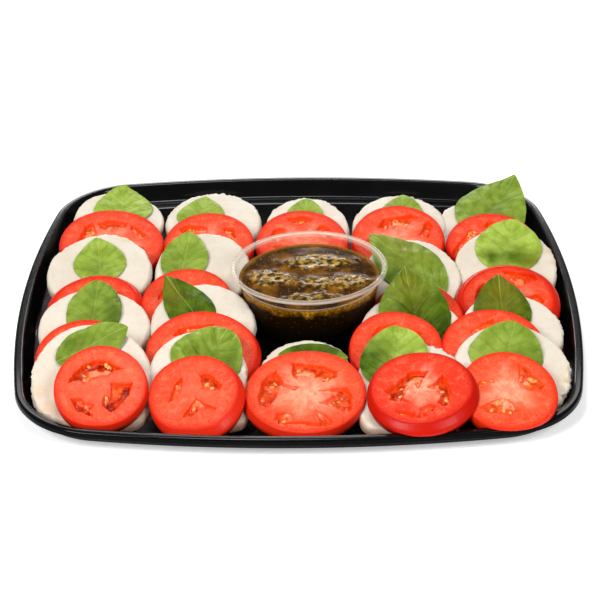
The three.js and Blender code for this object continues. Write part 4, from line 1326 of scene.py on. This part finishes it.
def leaf_grid(name, seed):
    """Points of a leaf's blade, rows along and lanes across, and its marks.

    The half width at s along it is sin(pi * s ** 0.85) ** point of the leaf's half width, moved a
    little by fine teeth and slow waves.
    """
    ground, across, along, middle, half, weights = leaf_surface(name)
    look = USUAL_LEAF | LEAVES[name]
    s = (1 - np.cos(np.linspace(0, np.pi, LEAF_ROWS))) / 2
    lanes = np.linspace(-1, 1, LEAF_LANES)
    s, t = np.meshgrid(np.clip(s, 0.002, 0.998), np.sign(lanes) * np.abs(lanes) ** 0.9, indexing="ij")
    width = np.sin(np.pi * s**0.85) ** look["point"]
    teeth = 1 + 0.006 * np.sin(46 * s + seed) * smooth(0.1, 0.3, s) + 0.025 * np.sin(9 * s + seed)
    unit_x = t * width * teeth
    unit_y = s * 2 - 1
    flat = flat_points(unit_x * half[0], unit_y * half[1], seed)
    height = powers(np.clip(unit_x, -1, 1), unit_y) @ weights
    phase, swell, groove = vein_field(s, t, look["veins"])
    # relief between the veins, then slow and fine waves, a curled edge, and the crease
    size = half[0] / USUAL_HALF_WIDTH
    veined = look["relief"] * swell - 0.8 * groove
    height += size * veined * smooth(0.0, 0.2, s) * (1 - smooth(0.85, 1.0, s))
    height += size * (2.0 * clouds(flat, 13.0, seed, 2) + 0.25 * clouds(flat, 3.0, seed + 1, 2))
    curl = clouds(flat_points(8 * s, np.sign(t) * 9.0, seed), 3.0, seed + 2, 1)
    height += size * 1.1 * np.abs(t) ** 5 * curl
    fold, drop = look["fold"]
    height += drop * (smooth(fold - 0.05, fold + 0.03, s + 0.06 * t) - 1) * smooth(0.0, 0.15, s)
    x, y = np.moveaxis((flat[..., :2] + middle) @ np.stack([across, along]), -1, 0)
    marks = {
        "phase": phase,
        "swell": swell,
        "from_midrib": np.abs(t) * width * half[0],
        "edge": 1 - np.abs(t),
        # painted shade: darker patches, most of them the shade of folds and curls, are added to the tone
        "tone": np.clip(look["tone"] + patches(s, t, look["deeper"]), 0, 1),
        "olive": patches(s, t, look["olive"]),
        "place": flat_points(t * width * half[0], s * 2 * half[1], seed),
    }
    return ground.place(x, y, over_cheese(ground, x, y, height)), marks


def blade_mesh(name, grid):
    """An open sheet of rows and lanes whose faces look out of the cheese."""
    rows, lanes = grid.shape[:2]
    row, lane = np.meshgrid(np.arange(rows - 1), np.arange(lanes - 1), indexing="ij")
    first = row * lanes + lane
    quads = np.stack([first, first + 1, first + lanes + 1, first + lanes], axis=-1).reshape(-1, 4)
    return faces_to_mesh(name, grid.reshape(-1, 3), quads, np.empty((0, 3), dtype=np.int32))


print("leaf shape ready")

# %% Basil finish
basil = Finish(
    "basil leaf", (0.12, 0.3, 0.03), Roughness=0.36, IOR=1.2, Subsurface_Weight=0.1, Subsurface_Scale=0.002,
    Subsurface_Radius=(0.4, 1.0, 0.1), Coat_Weight=0.03, Coat_Roughness=0.2,
)
tone = basil.attribute("tone")
place = basil.attribute("place", "Vector")
from_vein = basil.node("ShaderNodeMath", {"operation": "PINGPONG"}, {0: basil.attribute("phase"), 1: 0.5})
edge = basil.attribute("edge")
side_vein = (1 - basil.step(from_vein, 0.012, 0.055)) * basil.step(edge, 0.05, 0.5)
midrib = 1 - basil.step(basil.attribute("from_midrib"), 0.15, 0.6)
patch = basil.spots(0.11, 3.0, 0.35, 0.65, vector=place)
light = basil.mix(patch, (0.3, 0.44, 0.045), (0.47, 0.61, 0.11))
dark = basil.mix(patch, (0.024, 0.06, 0.0004), (0.08, 0.16, 0.001))
# painted light: bulges between the veins are coloured lighter, as if lit on their tops
lit_bulges = basil.mix(tone, (0.36, 0.5, 0.03), (0.08, 0.14, 0.001))
fine = basil.spots(0.9, 4.0, 0.42, 0.75, vector=place, rough=0.6) * (0.34 - tone * 0.26)
blade = basil.coats(
    basil.mix(tone, light, dark),
    # painted light on the bulges between veins
    (basil.attribute("swell") * 0.3, lit_bulges),
    (fine, (0.25, 0.36, 0.02)),
    # painted shade in the grooves along the side veins
    ((1 - basil.step(from_vein, 0.03, 0.2)) * 0.2, (0.05, 0.11, 0.001)),
    (basil.attribute("olive") * 0.75, (0.2, 0.17, 0.006)),
    (side_vein * 0.14, (0.42, 0.53, 0.1)),
    (midrib * 0.42, (0.46, 0.58, 0.13)),
)
basil.use("Base Color", blade)
basil.use("Roughness", basil.noise(0.5, 2.0, place) * 0.2 + 0.3)
net = basil.bump(basil.step(basil.cells(0.6, place), 0.2, 0.7), 0.0004, 0.35)
basil.use("Normal", basil.bump(side_vein * -1 + basil.noise(1.6, 3.0, place), 0.0004, 0.5, net))

for number, name in enumerate(SERVINGS):
    grid, marks = leaf_grid(name, LEAF_SEED + LEAF_SEED_STEP * number)
    mesh = blade_mesh("basil_leaf_" + name, grid)
    paint(mesh, **{key: value.reshape(-1, *value.shape[2:]) for key, value in marks.items()})
    leaf = add_piece(mesh.name, mesh, basil, "basil", "basil_" + name)
    solidify = leaf.modifiers.new("thickness", "SOLIDIFY")
    solidify.thickness = LEAF_THICKNESS * MM
    solidify.offset = -1.0
print("leaf faces each", len(mesh.polygons))

# %% [markdown]
# ## The tub
# The tub is a thin clear cup with a rolled rim. It is turned from its section on a lathe. Clear
# plastic is mostly see-through, with reflections that grow towards its edges. The rim is painted
# pale and milky as a painted highlight of the light that it catches, and two brighter lines, one
# outside and one inside, are painted highlights too.

# %% Tub
TUB_SIDES = 192
TUB_BEND = 1.1
# (radius, height) round the wall, from the underside of the floor to its upper side
TUB_SECTION = [
    (41.0, 0.6),
    (42.0, 0.0),
    (44.0, 0.0),
    (TUB_BASE_RADIUS + 2.5 * TUB_FLARE, 2.5),
    (53.0, 38.6),
    (56.3, 39.6),
    (56.6, 41.5),
    (55.1, 43.0),
    (53.2, 42.2),
    (52.0, 38.8),
    (TUB_BASE_RADIUS + 3.0 * TUB_FLARE - TUB_WALL, 3.0),
    (41.0, 1.6),
]


def on_lathe(section, sides):
    """Rings of a section of (radius, height over the foot), round the tub's axis, in metres."""
    radius, level = np.asarray(section).T[:, :, None]
    return tub_solid.place(*round_about(radius, full_turn(sides)), level - TUB_HEIGHT / 2)


def section_bell(section, middle, size):
    """A bell over (radius, height) points round a middle, with its size in both directions."""
    return np.exp(-(((section - middle) / size) ** 2).sum(axis=1))


tub_section = rounded(TUB_SECTION, TUB_BEND, 7)
rim_band = smooth(37.5, 40.0, tub_section[:, 1])
# painted highlights: two bright lines round the rim
bright_lines = section_bell(tub_section, (56.5, 41.0), (0.6, 0.9))
bright_lines += section_bell(tub_section, (53.1, 41.9), (0.6, 0.7))
tub_marks = {"rim": on_rings(rim_band, TUB_SIDES), "line": on_rings(bright_lines, TUB_SIDES)}
tub_mesh = turned_mesh("clear_tub", on_lathe(tub_section, TUB_SIDES), **tub_marks)

clear = Finish(
    "clear tub plastic", (0.9, 0.88, 0.84), Roughness=0.14, IOR=1.3, Coat_Weight=0.15, Coat_Roughness=0.1,
)
edge_on = clear.node("ShaderNodeLayerWeight", inputs={"Blend": 0.2}, output=1)
scuffs = clear.spots(90.0, 4.0, 0.45, 0.8, rough=0.7)
rim = clear.attribute("rim")
# painted highlight: the rim is pale and milky, and the bright lines are nearly opaque
clear.use("Base Color", clear.mix(rim, (0.015, 0.012, 0.009), (0.86, 0.77, 0.64)))
line = clear.attribute("line")
clear.use("Alpha", 0.03 + edge_on * (0.14 + rim * 0.3) + rim * (0.12 + scuffs * 0.04) + line * 0.5)
tub = add_piece("clear_tub", tub_mesh, clear, "tub", "tub")
print("tub faces", len(tub.data.polygons))

# %% [markdown]
# ## Dressing
# Dark balsamic with oil and chopped herbs fills the tub to a level. The herbs float in clotted
# islands that stand a little over the oil. Against the wall the oil shows herb pieces near its top,
# painted bright amber as light that comes through the wall, and turns almost black below. The body
# reaches just into the wall, so that no gap shows.

# %% Herb islands
# (x, y, half length, half width, height) of each island in millimetres
ISLANDS = [
    (6.0, 23.0, 25.0, 10.0, 2.2),
    (-26.0, -1.0, 17.0, 10.0, 1.9),
    (20.0, -9.0, 26.0, 10.0, 2.0),
    (1.0, -29.0, 17.0, 7.0, 1.7),
]


def island_height(x, y):
    """Each island's height times exp(-(d ** 2) ** 1.5), with d the distance as a share of its size."""
    bent_x = x + 6.0 * clouds(flat_points(x, y), 10.0, 41, 2)
    bent_y = y + 4.5 * clouds(flat_points(x, y), 8.0, 42, 2)
    total = np.zeros_like(x)
    for middle_x, middle_y, long, wide, high in ISLANDS:
        away = ((bent_x - middle_x) / long) ** 2 + ((bent_y - middle_y) / wide) ** 2
        total = np.maximum(total, high * np.exp(-(away**1.5)))
    return total


def dressing_top(x, y):
    """Height over the level and share of herbs: flat-topped islands with folds and lumps on them."""
    here = flat_points(x, y)
    island = island_height(x, y)
    herbs = smooth(0.45, 1.15, island + 0.7 * clouds(here, 5.0, 43, 3))
    folds = 1 - np.abs(clouds(here * (0.6, 1.0, 1.0), 9.0, 44, 2)) * 2.2
    lumps = (0.8 * folds + 0.3 * clouds(here, 3.6, 45, 2)) * herbs
    swell = 0.08 * clouds(here * (0.5, 1.0, 1.0), 12.0, 46, 1)
    return 0.75 * herbs + 0.15 * island + lumps + swell - 0.25, herbs


print("herb islands", len(ISLANDS))

# %% Dressing body
DRESSING_LEVEL = 32.5
DRESSING_SIDES = 320
DRESSING_RINGS = 110
SIDE_RINGS = 40
INTO_WALL = 0.2  # how far the dressing reaches into the tub's wall, in millimetres
CLIMB, CLIMB_WIDTH = 0.35, 4.0  # how high and from how far off the dressing creeps up the wall
SETTLED = 1.0  # degrees by which the oil's surface lies nearer to level than the leaning tub


def side_radius(level):
    """Radius of the dressing at a level over the tub's foot: that of the wall's inner side and a bit."""
    return TUB_BASE_RADIUS + level * TUB_FLARE - TUB_WALL + INTO_WALL


inner_radius = side_radius(DRESSING_LEVEL)
share = np.linspace(1, 0, DRESSING_RINGS + 1)[:-1]
radius, turn = np.meshgrid(inner_radius * share, full_turn(DRESSING_SIDES), indexing="ij")
top_x, top_y = round_about(radius, turn)
relief, herbs = dressing_top(top_x, top_y)
by_wall = 1 - smooth(0.0, CLIMB_WIDTH, inner_radius - radius)
relief = relief * (1 - by_wall) + CLIMB * by_wall**3 + np.sin(np.radians(SETTLED)) * top_y
top_rings = tub_solid.place(top_x, top_y, relief + DRESSING_LEVEL - TUB_HEIGHT / 2)
side_section = [(20.0, 1.75), (41.2, 1.9)]
for level in np.linspace(3.2, DRESSING_LEVEL - 1, SIDE_RINGS):
    side_section.append((side_radius(level), level))
side_rings = on_lathe(side_section, DRESSING_SIDES)
side_level = on_rings(np.array(side_section)[:, 1], DRESSING_SIDES)
no_side = np.zeros_like(side_level)
dressing_mesh = turned_mesh(
    "herb_dressing",
    np.concatenate([side_rings, top_rings]),
    level=np.concatenate([side_level, np.full_like(relief, DRESSING_LEVEL)]),
    top=np.concatenate([no_side, np.ones_like(relief)]),
    herbs=np.concatenate([no_side, herbs]),
    wall=np.concatenate([no_side, by_wall]),
)
print("dressing faces", len(dressing_mesh.polygons), "relief", relief.min().round(2), relief.max().round(2))

# %% Dressing finish
oil = Finish("herb dressing", (0.05, 0.02, 0.002), Roughness=0.12, IOR=1.11, Coat_Roughness=0.1)
level = oil.attribute("level")
top = oil.attribute("top")
herb = oil.attribute("herbs")
clot = oil.spots(240.0, 4.0, 0.4, 0.62, rough=0.6)
bits = oil.step(oil.cells(620.0), 0.36, 0.1)
pool = oil.mix(oil.spots(60.0, 3.0, 0.4, 0.75), (0.034, 0.011, 0.0006), (0.24, 0.09, 0.003))
clotted = oil.mix(clot, (0.04, 0.018, 0.002), (0.48, 0.29, 0.06))
surface = oil.coats(
    pool,
    (bits * clot * 0.8, (0.5, 0.28, 0.03)),
    (herb * oil.spots(210.0, 3.0, 0.25, 0.55), oil.mix(bits * 0.5, clotted, (0.1, 0.1, 0.01))),
    (oil.attribute("wall") * 0.6, (0.34, 0.15, 0.014)),
)
# painted light: near the top of the side, herb pieces are painted bright amber as if lit through the wall
band = oil.step(level + oil.noise(120.0, 3.0) * 14.0, 32.0, 40.0)
lit_flecks = oil.spots(420.0, 3.0, 0.42, 0.66, rough=0.7)
specks = oil.spots(520.0, 2.0, 0.58, 0.72) * oil.step(level, 6.0, 30.0)
side = oil.coats(
    oil.mix(oil.step(level, 4.0, 28.0), (0.0015, 0.0008, 0.0004), (0.018, 0.007, 0.0004)),
    (specks * 0.3, (0.25, 0.16, 0.03)),
    (band, oil.mix(lit_flecks, (0.36, 0.12, 0.001), (0.95, 0.55, 0.03))),
)
oil.use("Base Color", oil.mix(top, side, surface))
oil.use("Roughness", 0.1 + oil.spots(300.0, 3.0, 0.4, 0.7) * herb * 0.14 + (1 - top) * 0.3)
oil.use("Coat Weight", top * (0.02 + herb * 0.14))
oil.use("Normal", oil.bump(oil.noise(300.0, 3.0, rough=0.5) * herb * top, 0.0004, 0.3))
add_piece("herb_dressing", dressing_mesh, oil, "dressing", "dressing")
print("dressing ready")
